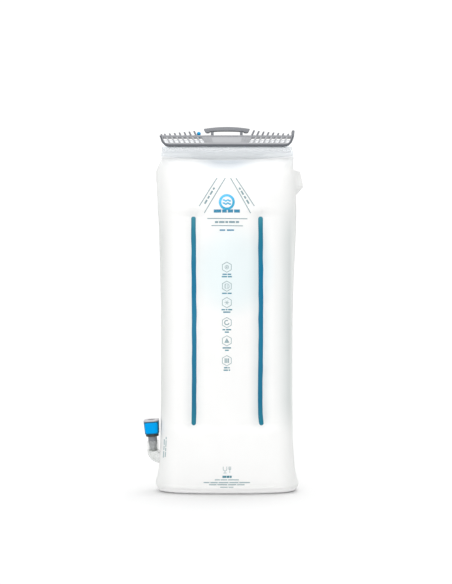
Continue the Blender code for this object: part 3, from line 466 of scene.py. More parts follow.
def film_paint():
    p = Paint("frosted_film", rgb(246, 247, 247), 0.42, IOR=1.46, Subsurface_Weight=0.35,
              Subsurface_Scale=0.0035, Subsurface_Radius=(1.0, 1.0, 1.0), Specular_IOR_Level=0.25)
    x, z = p.axis("X"), p.axis("Z")
    out = p.off(x)
    cloud = p.noise(14.0, 4.0, 0.6, (1, 1, 0.35))
    fine = p.noise(900.0, 3.0, 0.6)
    base = p.mix(cloud, rgb(231, 231, 230), rgb(239, 239, 238))
    # painted shade: the sides are painted greyer, for the shade where the film turns away from the
    # light
    middle = p.between(z, 0.06, 0.12, 0.3, 0.37)
    side = p.times(p.span(out, 0.061, 0.084), p.span(middle, 0.0, 1.0, 0.5, 1.0, smooth=False))
    base = p.mix(side, base, rgb(202, 204, 202))
    # painted light: the film is painted lighter where it turns under at the base, against the
    # floor's shade there
    base = p.mix(p.span(z, 0.001, 0.008, 1.0, 0.0), base, rgb(246, 246, 246))
    # a faint cool cast across the middle
    dx = p.math("DIVIDE", p.minus(x, 0.008), 0.052)
    dz = p.math("DIVIDE", p.minus(z, 0.272), 0.055)
    away = p.plus(p.times(dx, dx), p.times(dz, dz))
    base = p.mix(p.span(away, 0.15, 1.3, 0.5, 0.0), base, rgb(202, 224, 228))
    # painted shade in the valleys beside the welds, deeper low down and to the right, and painted
    # shade on the right flank, which turns away from the key light; then a paler rim at the right
    # edge
    weld_valley_shade = p.times(p.span(p.off(out, 0.0405), 0.002, 0.016, 1.0, 0.0),
                   p.between(z, 0.074, 0.1, 0.31, 0.35))
    depth = p.plus(p.span(z, 0.09, 0.24, 0.12, 0.0), p.span(x, -0.02, 0.03, 0.1, 0.32))
    base = p.mix(p.times(weld_valley_shade, depth), base, rgb(168, 184, 189))
    # painted shade on the right flank
    flank = p.times(p.times(p.span(x, 0.046, 0.08), middle), 0.38)
    base = p.mix(flank, base, rgb(174, 184, 184))
    rim = p.times(p.span(x, 0.076, 0.081, 0.0, 0.6), middle)
    base = p.mix(rim, base, rgb(230, 232, 230))
    # painted shade under the mouth, where the film curves away below the arc, and clearer film
    # above the arc
    arc = p.plus(p.times(p.times(x, x), ARC_RISE / ARC_HALF**2), ARC_MID)
    above = p.minus(z, arc)
    clear = p.span(above, -0.0005, 0.0006)
    # painted shade below the arc, strongest near the middle
    under = p.times(p.span(above, -0.024, -0.001), p.span(out, 0.008, 0.046, 1.0, 0.25))
    base = p.mix(p.times(under, 0.75), base, rgb(176, 186, 196))
    p.colour(p.mix(clear, base, rgb(226, 230, 233)))
    grain = p.plus(p.times(fine, 0.5), p.times(cloud, 0.5))
    p.give("Roughness", p.minus(p.span(grain, 0.3, 0.7, 0.36, 0.50), p.times(clear, 0.22)))
    p.bump((fine, 0.35, 0.00006), (p.noise(70.0, 2.0, 0.5, (1, 1, 0.12)), 0.25, 0.00025))
    return p.see_through(p.span(clear, 0.0, 1.0, 0.05, 0.5, smooth=False)).made


def clear_paint(name, tint, edge, opacity, scale=220.0, clear_above=None):
    """Clear plastic: open face on, denser at grazing angles and along marked edges."""
    p = Paint(name, tint, 0.12, IOR=1.49, Specular_IOR_Level=0.3)
    waves = p.noise(scale, 2.0, 0.5)
    border = p.edges()
    p.colour(p.mix(border, p.mix(waves, tint, edge), rgb(164, 171, 178)))
    p.rough(waves, 0.09, 0.2)
    p.bump((waves, 0.06, 0.0004), (p.noise(1600.0, 2.0), 0.08, 0.00004))
    facing = p.add("LayerWeight", {"Blend": 0.35}).outputs["Facing"]
    share = p.span(facing, 0.05, 0.95, 1 - opacity, 0.35)
    if clear_above:
        cuff = p.span(p.axis("Z"), clear_above, clear_above + 0.001, 0.0, 0.84)
        share = p.math("MAXIMUM", share, cuff)
    return p.see_through(p.times(share, p.span(border, 0.0, 1.0, 1.0, 0.35))).made


def folded_paint():
    """The folded mouth in the slider: layers of clear film with a painted glow, an even emission
    standing in for the light that comes through the slots.
    """
    p = Paint("folded_band", rgb(232, 235, 238), 0.25, Specular_IOR_Level=0.3,
              Emission_Color=(0.97, 0.98, 1.0), Emission_Strength=0.44)
    waves = p.noise(220.0, 2.0, 0.5)
    p.colour(p.mix(waves, rgb(224, 228, 231), rgb(238, 241, 243))).rough(waves, 0.18, 0.32)
    return p.bump((waves, 0.15, 0.0003), (p.noise(1600.0, 2.0), 0.1, 0.00004)).made


def plastic(name, colour, roughness, vary=0.08, grain=1400.0, depth=0.00005, **sockets):
    """Moulded plastic: spark-eroded grain, soft flow marks and small shifts of shade."""
    p = Paint(name, colour, roughness, **sockets)
    flow, fine = p.noise(45.0, 3.0, 0.6, (1, 1, 0.5)), p.noise(grain, 3.0, 0.6)
    light = tuple(min(c * (1 + vary), 1) for c in colour)
    dark, darker = (tuple(c * (1 - k * vary) for c in colour) for k in (1, 1.6))
    p.shade = p.mix(p.span(fine, 0.25, 0.75, 0.0, 0.35), p.mix(flow, dark, light), darker)
    p.colour(p.shade).rough(p.plus(p.times(flow, 0.5), p.times(fine, 0.5)),
                            roughness * 0.82, min(roughness * 1.2, 1))
    return p.bump((fine, 0.3, depth), (flow, 0.15, depth * 4))


def coupling_paint():
    p = plastic("coupling_grey", rgb(118, 120, 124), 0.34, vary=0.07, Specular_IOR_Level=0.35)
    low, high = RING_BAND
    ring = p.between(p.axis("Z"), low, low + 0.0004, high, high + 0.0004)
    return p.colour(p.mix(ring, p.shade, rgb(58, 62, 60))).made


def slider_paint():
    p = plastic("slider_grey", rgb(178, 179, 182), 0.42, vary=0.05)
    # painted light up the face: painted shade at the lower edge, a painted highlight across the
    # flat middle, darker again towards the top rail; and a machined-looking slant on the plate
    # between the slots
    z, x = p.axis("Z"), p.axis("X")
    band = p.ramp(p.span(z, 0.4256, 0.4397, smooth=False), (
        (0.0, rgb(84, 87, 93)), (0.14, rgb(100, 103, 108)), (0.2, rgb(132, 133, 137)),
        (0.32, rgb(160, 161, 164)), (0.74, rgb(168, 169, 172)), (0.88, rgb(140, 141, 145)),
        (0.97, rgb(124, 125, 130)), (1.0, rgb(102, 104, 110))))
    lean = p.minus(p.off(x), p.times(z, SLOT_LEAN))
    stripe = p.math("SINE", p.times(lean, 2 * math.pi / 0.00106))
    fine = p.noise(1400.0, 3.0)
    plate = p.between(z, 0.4296, 0.43, 0.4368, 0.4374)
    shade = p.mix(p.times(plate, p.span(stripe, -0.4, 0.9, 0.0, 0.16)), band, rgb(96, 97, 102))
    p.colour(p.mix(p.span(fine, 0.3, 0.7, 0.0, 0.14), shade, rgb(110, 112, 118)))
    return p.bump((fine, 0.3, 0.00005), (p.times(plate, stripe), 0.35, 0.0001)).made


def strip_paint():
    p = Paint("weld_strip", rgb(40, 124, 152), 0.40, Specular_IOR_Level=0.12)
    long = p.noise(26.0, 3.0, 0.6, (1, 1, 0.4))
    core = p.ramp(p.span(p.axis("Z"), 0.08, 0.34, smooth=False), (
        (0.0, rgb(36, 112, 130)), (0.12, rgb(22, 98, 126)), (0.45, rgb(24, 106, 136)),
        (0.72, rgb(8, 104, 138)), (0.93, rgb(30, 112, 132)), (1.0, rgb(60, 130, 144))))
    core = p.mix(p.span(long, 0.35, 0.7, 0.0, 0.35), core, rgb(12, 88, 120))
    p.colour(p.mix(p.span(p.edges(), 0.84, 1.0, 0.0, 0.4), core, rgb(110, 162, 178)))
    p.rough(long, 0.28, 0.44)
    return p.bump((p.noise(700.0, 3.0), 0.3, 0.00008), (long, 0.3, 0.0004)).made


def print_paint(name, low, high, z_low, z_high, slant=0.0):
    """Screen-printed ink, its colour running from low to high up the print."""
    p = Paint(name, low, 0.38, Specular_IOR_Level=0.15)
    where = p.plus(p.axis("Z"), p.times(p.axis("X"), slant))
    ink = p.noise(1500.0, 3.0, 0.7)
    base = p.mix(p.span(where, z_low, z_high), low, high)
    p.colour(p.mix(p.span(ink, 0.45, 0.75, 0.0, 0.25), base, rgb(214, 228, 232)))
    return p.rough(ink, 0.32, 0.48).bump((ink, 0.25, 0.00003)).made


def metal_paint():
    p = Paint("spring_steel", rgb(176, 176, 176), 0.28, Metallic=1.0)
    drawn = p.noise(900.0, 3.0, 0.6, (1, 0.2, 1))
    p.colour(p.mix(drawn, rgb(150, 150, 150), rgb(200, 200, 196))).rough(drawn, 0.2, 0.38)
    return p.bump((drawn, 0.2, 0.00003)).made


def floor_paint():
    p = Paint("floor", (0.69, 0.69, 0.69), 0.65, Specular_IOR_Level=0.2)
    soft = p.noise(3.0, 3.0)
    p.colour(p.mix(soft, (0.68, 0.68, 0.68), (0.7, 0.7, 0.7))).rough(soft, 0.6, 0.72)
    return p.bump((p.noise(500.0, 2.0), 0.05, 0.0002)).made


FROSTED = film_paint()
CLEAR_BAND = clear_paint("clear_band", rgb(214, 219, 223), rgb(226, 230, 233), 0.30)
FOLDED = folded_paint()
CLEAR_PORT = clear_paint("clear_port", rgb(196, 200, 197), rgb(212, 215, 212), 0.20, 160.0,
                         clear_above=0.05)
WEB_FILM = clear_paint("web_film", rgb(214, 232, 238), rgb(238, 247, 250), 0.60, 90.0)
STRIP = strip_paint()
SLIDER = slider_paint()
GREY = coupling_paint()
# the slider's trim is its grey plastic in shades: the lip is painted dark as shade under the lower
# edge, the plaque painted light as a highlight on its flat face
LIP, RAIL, PLAQUE, RIBS, STUD, BLUE, PAD, DARK = (
    plastic(name, rgb(*colour), roughness, vary, Specular_IOR_Level=gloss).made
    for name, colour, roughness, vary, gloss in (
        ("slider_lip", (84, 87, 93), 0.42, 0.06, 0.3),
        ("slider_rail", (136, 137, 141), 0.42, 0.05, 0.3),
        ("slider_plaque", (166, 167, 170), 0.46, 0.05, 0.3),
        ("slider_ribs", (146, 147, 151), 0.45, 0.05, 0.3),
        ("stud_cyan", (0, 150, 206), 0.35, 0.05, 0.15),
        ("button_blue", (2, 104, 140), 0.33, 0.06, 0.15),
        ("button_pad", (0, 143, 212), 0.40, 0.04, 0.03),
        ("grip_dark", (62, 60, 58), 0.45, 0.10, 0.2)))
HANGER = plastic("hanger_rubber", rgb(118, 120, 125), 0.55, 0.10, 1100.0, 0.00008).made
PALE = plastic("valve_pale", rgb(166, 164, 168), 0.34, 0.05).made
RUBBER = plastic("seal_rubber", rgb(52, 52, 56), 0.62, 0.15, 1800.0).made
STEEL = metal_paint()
INK = print_paint("ink_teal", rgb(52, 118, 132), rgb(24, 116, 150), 0.16, 0.35)
INK_PALE = print_paint("ink_grey", rgb(128, 152, 156), rgb(112, 138, 144), 0.16, 0.38)
EMBLEM = print_paint("ink_emblem", rgb(0, 146, 186), rgb(72, 176, 220), 0.347, 0.363, slant=-0.6)


# ---- the film bag
def heights(low, high, *extra):
    """Rows of heights, closer together where the film is creased or pressed."""
    rows = [a + (b - a) * i / round((b - a) / s) for a, b, s in ROWS
            for i in range(round((b - a) / s))]
    rows = [z for z in rows if low < z < high and all(abs(z - e) > 2e-4 for e in extra)]
    return np.array(sorted({low, high, *rows, *extra}))


def make_film():
    flat = np.linspace(-FLAT_EDGE, FLAT_EDGE, 65)
    shares = np.linspace(0, 1, 15)[1:]
    for rear, name in ((False, "front"), (True, "rear")):
        grid = []
        for height in heights(PANEL_LOW, PANEL_HIGH, WELD_LOW, WELD_HIGH):
            wider = float(ease((height - 0.4085) / 0.0045))
            edge = PANEL_EDGE + (SIDE_STEPS - 0.12 - PANEL_EDGE) * wider
            flank = FLAT_EDGE + shares * edge / 1000
            u = np.concatenate([-flank[::-1], flat, flank])
            grid.append(film_point(u, height, rear=rear))
        film = shell(f"{name}_film", np.array(grid), FILM, FROSTED, offset=1.0 if rear else -1.0)
        put(film, "bag", "frosted_film", f"{name}_panel")


def make_gussets():
    steps = np.array(GUSSET_STEPS)
    steps = np.concatenate([steps, [SIDE_STEPS], 2 * SIDE_STEPS - steps[::-1]])
    share = np.interp(np.minimum(steps, 2 * SIDE_STEPS - steps), EAR_SHARE[:, 0], EAR_SHARE[:, 1])
    mid = gauss(steps - SIDE_STEPS, 0.22)
    for name, side, ear in (("left", -1, LEFT_EAR), ("right", 1, RIGHT_EAR)):
        grid = []
        for height in heights(PANEL_LOW, GUSSET_TOP, *ear[:, 0]):
            row = lapped(side * (FLAT_EDGE + steps / 1000), height)
            stand = np.interp(height, ear[:, 0], ear[:, 1], left=0.0, right=0.0)
            row[:, 0] += side * stand * share
            # the fold down the middle of the side, and slack between its seams
            calm = ease((height - 0.06) / 0.03) * (1 - ease((height - 0.345) / 0.02))
            slack = 0.00035 * np.sin(height * 70 + side) * np.sin(steps * 2.2 + height * 40)
            row[:, 0] += side * (0.0004 * mid * calm + slack * (1 - mid) * calm)
            grid.append(row)
        film = shell(f"{name}_side_film", np.array(grid), FILM, FROSTED, offset=-float(side))
        if side < 0:
            cut_port_hole(film)
        put(film, "bag", "frosted_film", f"{name}_gusset")


def cut_port_hole(film):
    """Opens the side film for the port elbow."""
    work = bmesh.new()
    bmesh.ops.create_cone(work, cap_ends=True, segments=40, radius1=PORT_RADIUS,
                          radius2=PORT_RADIUS, depth=0.03)
    work.transform(Matrix.Translation((-0.083, 0, PORT_Z)) @ Matrix.Rotation(math.pi / 2, 4, "Y"))
    mesh = bpy.data.meshes.new("port_cut")
    work.to_mesh(mesh)
    work.free()
    cutter = add_object("port_cut", mesh)
    cut = film.modifiers.new("port", "BOOLEAN")
    cut.object, cut.operation, cut.solver = cutter, "DIFFERENCE", "EXACT"
    apply_modifiers(film)
    bpy.data.objects.remove(cutter, do_unlink=True)


def make_base():
    """The bottom film: lapped inside the walls, rounded under to the flat that it stands on."""
    steps = FLAT_EDGE + np.array([*np.linspace(0.6, 5.8, 14), SIDE_STEPS]) / 1000
    right = np.concatenate([np.linspace(-0.056, 0.056, 33), steps])
    rings = []
    levels = [(*wall, 1) for wall in BASE_WALL] + [(0.0, 0.0, scale) for scale in BASE_FLAT]
    for height, laps, scale in levels:
        halves = [lapped(u, height, laps) for u in (-steps[::-1], right)]
        front = np.concatenate(halves) * (scale, scale, 1)
        front[:, 2] = height
        rings.append(np.concatenate([front, front[::-1][1:-1] * (1, -1, 1)]))
    count = len(rings[0])
    points = np.concatenate(rings)
    faces = grid_faces(len(rings), count, closed=True)
    faces.append(tuple(range(len(points) - count, len(points))))
    film = mesh_object("base_film", points, [f[::-1] for f in faces], FROSTED)
    put(thicken(film, FILM, -1.0), "bag", "frosted_film", "base_gusset")


def make_strip(name, side, rear):
    """A weld line: rounded ends, a low crown and slightly wandering edges."""
    ends = np.array((0.0, 0.0002, 0.0005, 0.001, 0.0017, 0.0025, 0.0036))
    middle = np.arange(STRIP_LOW + 0.006, STRIP_HIGH - 0.005, 0.0026)
    across = np.array((-1, -0.97, -0.88, -0.7, -0.45, -0.15, 0.15, 0.45, 0.7, 0.88, 0.97, 1))
    rings = []
    for height in (*(STRIP_LOW + ends), *middle, *(STRIP_HIGH - ends[::-1])):
        end = min(height - STRIP_LOW, STRIP_HIGH - height)
        cut = max(STRIP_HALF - end - 0.0001, 0)
        half = math.sqrt(max(STRIP_HALF**2 - cut**2, 1e-9))
        half *= 1 + 0.035 * math.sin(height * 210 + side)
        x = weld_x(side, height) + 0.00012 * math.sin(height * 160 + 2 * side)
        crown = STRIP_CROWN * min(1, half / STRIP_HALF) * np.sqrt(1 - np.abs(across) ** 3 * 0.999)
        u = x + half * across
        skin, low = (film_point(u, height, lift, rear) for lift in (0.0, STRIP_UNDER))
        high = skin + (low - skin) / STRIP_UNDER * (STRIP_EDGE + crown)[:, None]
        rings.append(np.concatenate([high, low[::-1][1:-1]]))
    strip = stacked(name, rings, STRIP, apply=False)
    tone = np.concatenate([np.abs(across), np.ones(len(rings[0]) - len(across))])
    mark_edge(strip, np.tile(tone, len(rings)).astype(np.float32))
    return apply_modifiers(strip)


def make_welds():
    """Blue weld lines on both faces, and the web films that tie them together inside."""
    t = np.linspace(-1, 1, 17)
    for side, word in ((-1, "left"), (1, "right")):
        for rear, face in ((False, "front"), (True, "rear")):
            strip = make_strip(f"{face}_line_{word}", side, rear)
            put(strip, "bag", "weld_strip_blue", f"{face}_weld_{word}")
        grid = []
        for height in np.linspace(WELD_LOW, WELD_HIGH, 60):
            x = float(weld_x(side, height))
            reach = -float(film_point(x, height)[1]) - FILM - 2 * GAP
            back = float(film_point(x, height, rear=True)[1]) - FILM - 2 * GAP
            billow = 0.0011 * (1 - t**2) * math.sin(height * 38 + side)
            billow = billow + 0.0004 * np.sin(t * 5 + height * 90)
            y = np.where(t < 0, reach, back) * t
            grid.append(np.stack([x + billow, y, np.full_like(t, height)], -1))
        web = shell(f"web_film_{word}", np.array(grid), 0.0005, WEB_FILM, offset=0.0)
        put(web, "bag", "web_film", f"baffle_web_{word}")


# ---- the mouth
def band_low(x):
    x = np.abs(x)
    low = BAND_SIDE_LOW + (BAND_MID_LOW - BAND_SIDE_LOW) * (1 - ease((x - 0.038) / 0.01))
    into = np.clip(x - (BAND_HALF - BAND_CORNER), 0, BAND_CORNER)
    return low + BAND_CORNER - np.sqrt(np.maximum(BAND_CORNER**2 - into**2, 0))


def make_mouth():
    """Clear bands that rise through the slider and fold over the bead."""
    x = np.concatenate([np.linspace(0, 0.036, 13), np.linspace(0.038, 0.049, 12),
                        np.linspace(0.052, 0.0755, 8),
                        0.0763 + 0.004 * np.sin(np.linspace(0, math.pi / 2, 7))])
    x = np.concatenate([-x[:0:-1], x])
    low = band_low(x)
    for word, y in (("front", -BAND_Y), ("rear", BAND_Y)):
        radius = FOLD_Y - y
        fold = [(FOLD_Y + radius * math.cos(a), FOLD_Z + radius * math.sin(a))
                for a in np.radians(np.linspace(180, 0, 15))]
        fold += [(FOLD_Y + radius, z) for z in ((FOLD_Z + FOLD_END) / 2, FOLD_END)]
        grid = []
        for share in (0, 0.05, 0.1, *np.linspace(0.2, 1, 9)):
            z = low + (BAND_MILKY - low) * share
            ripple = 0.00006 * np.sin(z * 2 * math.pi / 0.0026) * (np.abs(x) < 0.044)
            grid.append(np.stack([x, y + ripple, z], -1))
        rising = len(grid)
        for across, z in fold:
            grid.append(np.stack([x, np.full_like(x, across), np.full_like(x, z)], -1))
        points = np.array(grid)
        faces = grid_faces(*points.shape[:2])
        band = mesh_object(f"{word}_band", points.reshape(-1, 3), faces, CLEAR_BAND)
        tone = np.zeros(points.shape[:2], np.float32)
        tone[:2] = tone[:rising, :2] = tone[:rising, -2:] = 1
        mark_edge(band, tone.ravel())
        band.data.materials.append(FOLDED)
        for face in band.data.polygons:
            face.material_index = int(face.center.z > BAND_MILKY)
        put(thicken(band, BAND * 0.96, 0.0), "bag", "clear_band", f"{word}_mouth_band")


# ---- prints on the film
def flank_u(x, z):
    """The film's own coordinate for a place x on the flank."""
    steps = np.linspace(0, 5.5, 120)
    side = math.copysign(1, x)
    u = side * (FLAT_EDGE + steps / 1000)
    reached = np.abs(swept(u, np.full_like(u, z))[:, 0])
    return side * float(np.interp(abs(x), reached, np.abs(u)))


# in millimetres, as the prints' shapes are
EMBLEM_Z, PRINT_PITCH = 354.8, 2.0
PRINT_LIFT, PRINT_THICKNESS = 0.00007, 0.00005  # in metres
# each hexagon's height, and the rows of dashes that stand for its caption
CAPTIONS = ((276, ((5.2, 4.4), (6.4, 5.0))), (253, ((5.8, 5.0),)),
            (233.2, ((4.2, 2.0, 4.8), (8.6,))), (209, ((3.4, 6.2), (5.0,))),
            (187, ((10.2,), (4.6,))), (163, ((4.4, 1.6), (5.2, 1.8))))


class Print:
    """Thin ink laid on the front film from flat shapes, in millimetres across and up."""

    def __init__(self, name, finish):
        self.name, self.finish, self.points, self.faces = name, finish, [], []

    def quads(self, left, right, closed=False):
        """A ribbon between two lines of points."""
        start = len(self.points)
        for a, b in zip(left, right):
            self.points += [a, b]
        n = len(left)
        for i in range(n if closed else n - 1):
            j = (i + 1) % n
            self.faces.append(tuple(start + k for k in (2 * i, 2 * i + 1, 2 * j + 1, 2 * j)))

    def line(self, points, width, closed=False):
        """A line of even width through points, cut short enough to follow the film."""
        points = [np.array(p, float) for p in points]
        ahead = points[1:] + points[:1] if closed else points[1:]
        fine = []
        for a, b in zip(points, ahead):
            count = max(1, math.ceil(np.linalg.norm(b - a) / PRINT_PITCH))
            fine += [a + (b - a) * i / count for i in range(count)]
        if not closed:
            fine.append(points[-1])
        left, right = [], []
        n = len(fine)
        for i, p in enumerate(fine):
            before = fine[(i - 1) % n] if closed or i else p
            after = fine[(i + 1) % n] if closed or i < n - 1 else p
            d1, d2 = ((q / max(np.linalg.norm(q), 1e-9)) for q in (p - before, after - p))
            d = (d1 + d2) / max(np.linalg.norm(d1 + d2), 1e-9)
            grow = 1 / max(abs(d @ (d2 if np.linalg.norm(d2) > 0.5 else d1)), 0.6)
            side = np.array((d[1], -d[0])) * width / 2 * grow
            left.append(p - side)
            right.append(p + side)
        self.quads(left, right, closed)

    def bars(self, centre, z, lengths, height, gap=1.0):
        """A row of plain dashes where the original has small type."""
        x = centre - (sum(lengths) + gap * (len(lengths) - 1)) / 2
        for length in lengths:
            self.line([(x, z), (x + length, z)], height)
            x += length + gap

    def ring(self, x, z, radius, width, sides=40, start=0.0, sweep=360.0):
        closed = sweep >= 360
        angles = [math.radians(start + sweep * i / sides) for i in range(sides + 1 - closed)]
        inner, outer = ([(x + r * math.cos(a), z + r * math.sin(a)) for a in angles]
                        for r in (radius - width / 2, radius + width / 2))
        self.quads(inner, outer, closed)

    def lay(self, flank=False):
        """Lays the shapes on the film and gives the ink its thickness."""
        flat = np.array(self.points) / 1000
        u = np.array([flank_u(x, z) for x, z in flat]) if flank else flat[:, 0]
        points = film_point(u, flat[:, 1], PRINT_LIFT)
        made = mesh_object(self.name, points, self.faces, self.finish)
        return put(thicken(made, PRINT_THICKNESS, 0.0), "bag", "weld_strip_blue")


def make_prints():
    emblem = Print("print_emblem", EMBLEM)
    emblem.ring(0, EMBLEM_Z, 8.2, 3.0)
    for dz in (1.9, -1.9):
        emblem.line([(x, EMBLEM_Z + dz + 0.7 * math.sin(x * 1.25))
                     for x in np.linspace(-4.9, 4.9, 22)], 1.7)
    emblem.lay()

    lines = Print("print_rules", INK_PALE)
    for side in (-1, 1):
        lines.line([(side * 11.4 - 0.4, 384.4), (side * 33.3, 350.0)], 0.95)
        lines.line([(4.5 if side > 0 else -1.8, 384.4), (side * 28.0 + 0.7, 341.6)], 0.95)
        start, run = np.array((side * 8.0, 384.0)), np.array((side * 23.4, -39.0))
        for a, b in ((0.3, 0.36), (0.4, 0.52), (0.56, 0.64), (0.68, 0.8)):
            lines.line([start + run * a, start + run * b], 2.0)
    lines.line([(-23.6, 335.0), (24.8, 334.6)], 1.0)
    lines.line([(-18.6, 326.4), (19.4, 326.0)], 1.0)
    lines.bars(0.2, 330.6, (4.0, 6.6, 3.4, 7.2, 4.0), 2.5)
    lines.lay()

    words = Print("print_captions", INK)
    words.bars(0.0, 343.9, (9.0, 5.5, 6.5, 7.0), 3.8, 1.2)
    words.bars(0.0, 320.8, (6.6, 8.6), 1.7, 2.2)
    hexes = Print("print_icons", INK_PALE)
    for i, (z, rows) in enumerate(CAPTIONS):
        hexes.line([(6.2 * math.sin(a), z + 6.2 * math.cos(a))
                    for a in np.radians(range(0, 360, 60))], 0.7, closed=True)
        for r, row in enumerate(rows):
            words.bars(0.0, z - 8.6 - 2.9 * r, row, 1.5, 0.9)
        pictogram(hexes, i, z)
    words.bars(0.3, 22.6, (4.6, 3.4, 2.2), 2.6, 0.5)
    words.lay()
    hexes.lay()

    base = Print("print_base", INK_PALE)
    base.ring(-2.2, 32.0, 2.2, 0.6, 20, 180, 180)
    for x1, z1, x2, z2 in ((-4.4, 32.0, -4.4, 35.0), (0.0, 32.0, 0.0, 35.0),
                           (-2.2, 29.8, -2.2, 27.4), (-4.2, 27.2, -0.2, 27.2),
                           (3.6, 35.0, 3.6, 27.2)):
        base.line([(x1, z1), (x2, z2)], 0.6)
    base.line([(2.4, 35.0), (2.4, 31.6), (4.8, 31.6), (4.8, 35.0)], 0.5)
    for z, lengths, height in ((18.8, (6.0, 8.0, 13.0), 1.1),
                               (15.4, (7.0, 9.0, 12.0, 11.0, 13.0), 1.2),
                               (12.7, (9.0, 12.0, 10.0, 9.0), 1.2), (9.6, (9.0, 6.0), 1.0)):
        base.bars(0.0, z, lengths, height)
    base.lay()

    side = Print("print_side", INK_PALE)
    for x, low, lengths in ((-77.6, 43.5, (8, 5, 7)), (-75.2, 44.5, (6, 4, 8, 3))):
        z = low
        for length in lengths:
            side.line([(x + (end - low) * 0.05, end) for end in (z, z + length)], 1.0)
            z += length + 1.2
    side.lay(flank=True)


def pictogram(ink, kind, z):
    """Plain signs inside the hexagons."""
    if kind == 0:
        ink.ring(0, z, 2.2, 0.6, 24)
        ink.ring(0, z, 0.6, 0.7, 12)
    elif kind == 1:
        for x in (-1.3, 1.3):
            ink.line([(x, z - 2.4), (x, z + 2.4)], 0.6)
        ink.ring(0, z, 3.1, 0.4, 24)
    elif kind == 2:
        for a in range(0, 180, 60):
            c, s = math.cos(math.radians(a)), math.sin(math.radians(a))
            ink.line([(-2.8 * c, z - 2.8 * s), (2.8 * c, z + 2.8 * s)], 0.55)
    elif kind == 3:
        ink.ring(0, z, 2.6, 1.2, 24, 60, 290)
    elif kind == 4:
        for r in (2.6, 1.8, 1.0):
            ink.line([(-r, z - r * 0.8), (r, z - r * 0.8), (0, z + r)], 0.7, closed=True)
    else:
        for x in (-2.0, 0.0, 2.0):
            ink.line([(x, z - 2.8), (x, z + 2.8)], 1.4)


# ---- the slider's trim
def slider_edge(inset):
    """The slider's outline from its top left, round the lower corners, to its top right."""
    edge, low, radius = SLIDER_HALF - inset, SLIDER_LOW + inset, SLIDER_CORNER - inset
    turn = edge - 0.0016 - radius  # the sides lean in by 1.6 mm

    def corner(x, start, end):
        return [(x + radius * math.cos(a), low + radius + radius * math.sin(a))
                for a in np.radians(np.linspace(start, end, 14))]

    return [(-edge, SLIDER_TOP), *corner(-turn, 188, 270),
            *((x, low) for x in np.linspace(-0.068, 0.068, 25)),
            *corner(turn, 270, 352), (edge, SLIDER_TOP)]


def make_slider_trim():
    """A dark lip round the lower edge, a bead along the top and a ribbed plate, on both faces."""
    for word, out in (("front", -1), ("rear", 1)):
        y, up = out * SLIDER_Y, (0, out, 0)
        lip = [(x, y, z) for x, z in slider_edge(0.00135)]
        lip = sweep(f"slider_lip_{word}", lip, ellipse(0.00105, 0.0006, 16), LIP, up)
        bead = [(x, y, 0.43815) for x in np.linspace(-0.0812, 0.0798, 30)]
        bead = sweep(f"slider_bead_{word}", bead, ellipse(0.00062, 0.00045, 12), RAIL, up)
        front, back = y + out * 0.00032, y - out * 0.0002
        points, faces = [], []
        for side in (-1, 1):
            for i in range(RIB_COUNT):
                foot = side * (RIB_START + RIB_PITCH * i)
                start = len(points)
                for z in (RIB_LOW, RIB_HIGH):
                    x = foot + side * SLOT_LEAN * (z - RIB_LOW)
                    points += [(x - 0.00034, back, z), (x - 0.0002, front, z),
                               (x + 0.0002, front, z), (x + 0.00034, back, z)]
                faces += [tuple(start + k for k in f) for f in (
                    (0, 1, 5, 4), (1, 2, 6, 5), (2, 3, 7, 6), (3, 0, 4, 7), (3, 2, 1, 0),
                    (4, 5, 6, 7))]
        ribs = apply_modifiers(mesh_object(f"slider_ribs_{word}", points, faces, RIBS))
        rings = []
        for shrink, depth in ((0.0, -0.0002), (0.0, 0.00018), (0.00018, 0.0003),
                              (0.0006, 0.00034), (0.0016, 0.00034)):
            outline = rounded_rectangle(PLAQUE_HALF - shrink, PLAQUE_LOW + shrink,
                                        PLAQUE_HIGH - shrink, PLAQUE_CORNER - shrink)
            rings.append([(x, y + out * depth, z) for x, z in outline])
        for piece in (lip, bead, ribs, stacked(f"slider_plaque_{word}", rings, PLAQUE)):
            put(piece, "slider", "slider_grey")


# ---- the coupling's trim and springs
def rounded_rectangle(half_x, low, high, radius):
    points = []
    out, up, down = half_x - radius, high - radius, low + radius
    for x, z, start in ((out, up, 0), (-out, up, 90), (-out, down, 180), (out, down, 270)):
        for a in np.radians(np.linspace(start, start + 90, 6)):
            points.append((x + radius * math.cos(a), z + radius * math.sin(a)))
    return points


def make_button_pad():
    """The raised pad that follows the release button's curved face."""
    low, high = HEAD_LOW + PAD_INSET[0], HEAD_HIGH - PAD_INSET[1]
    outline = rounded_rectangle(PAD_HALF, low, high, PAD_CORNER)
    middle = (low + high) / 2
    rings = []
    for scale, rise in ((1.0, -0.0002), (1.0, 0.0001), (0.975, 0.00026), (0.93, 0.00036),
                        (0.8, 0.00044), (0.6, 0.0005), (0.4, 0.00052), (0.2, 0.00053)):
        ring = []
        for x, z in outline:
            z = middle + (z - middle) * scale
            share = (z - HEAD_LOW) / (HEAD_HIGH - HEAD_LOW)
            half = HEAD_HALF + HEAD_FLARE * share
            x = x * scale * half / 0.0088
            past = max(abs(x) - (half - HEAD_CORNER), 0.0)
            face = FACE_Y + FACE_FLARE * share - HEAD_CORNER + math.sqrt(HEAD_CORNER**2 - past**2)
            ring.append(COUPLING @ Vector((x, -(face + rise), z)))
        rings.append(ring)
    put(stacked("button_pad_face", rings, PAD), "button", "button_blue")


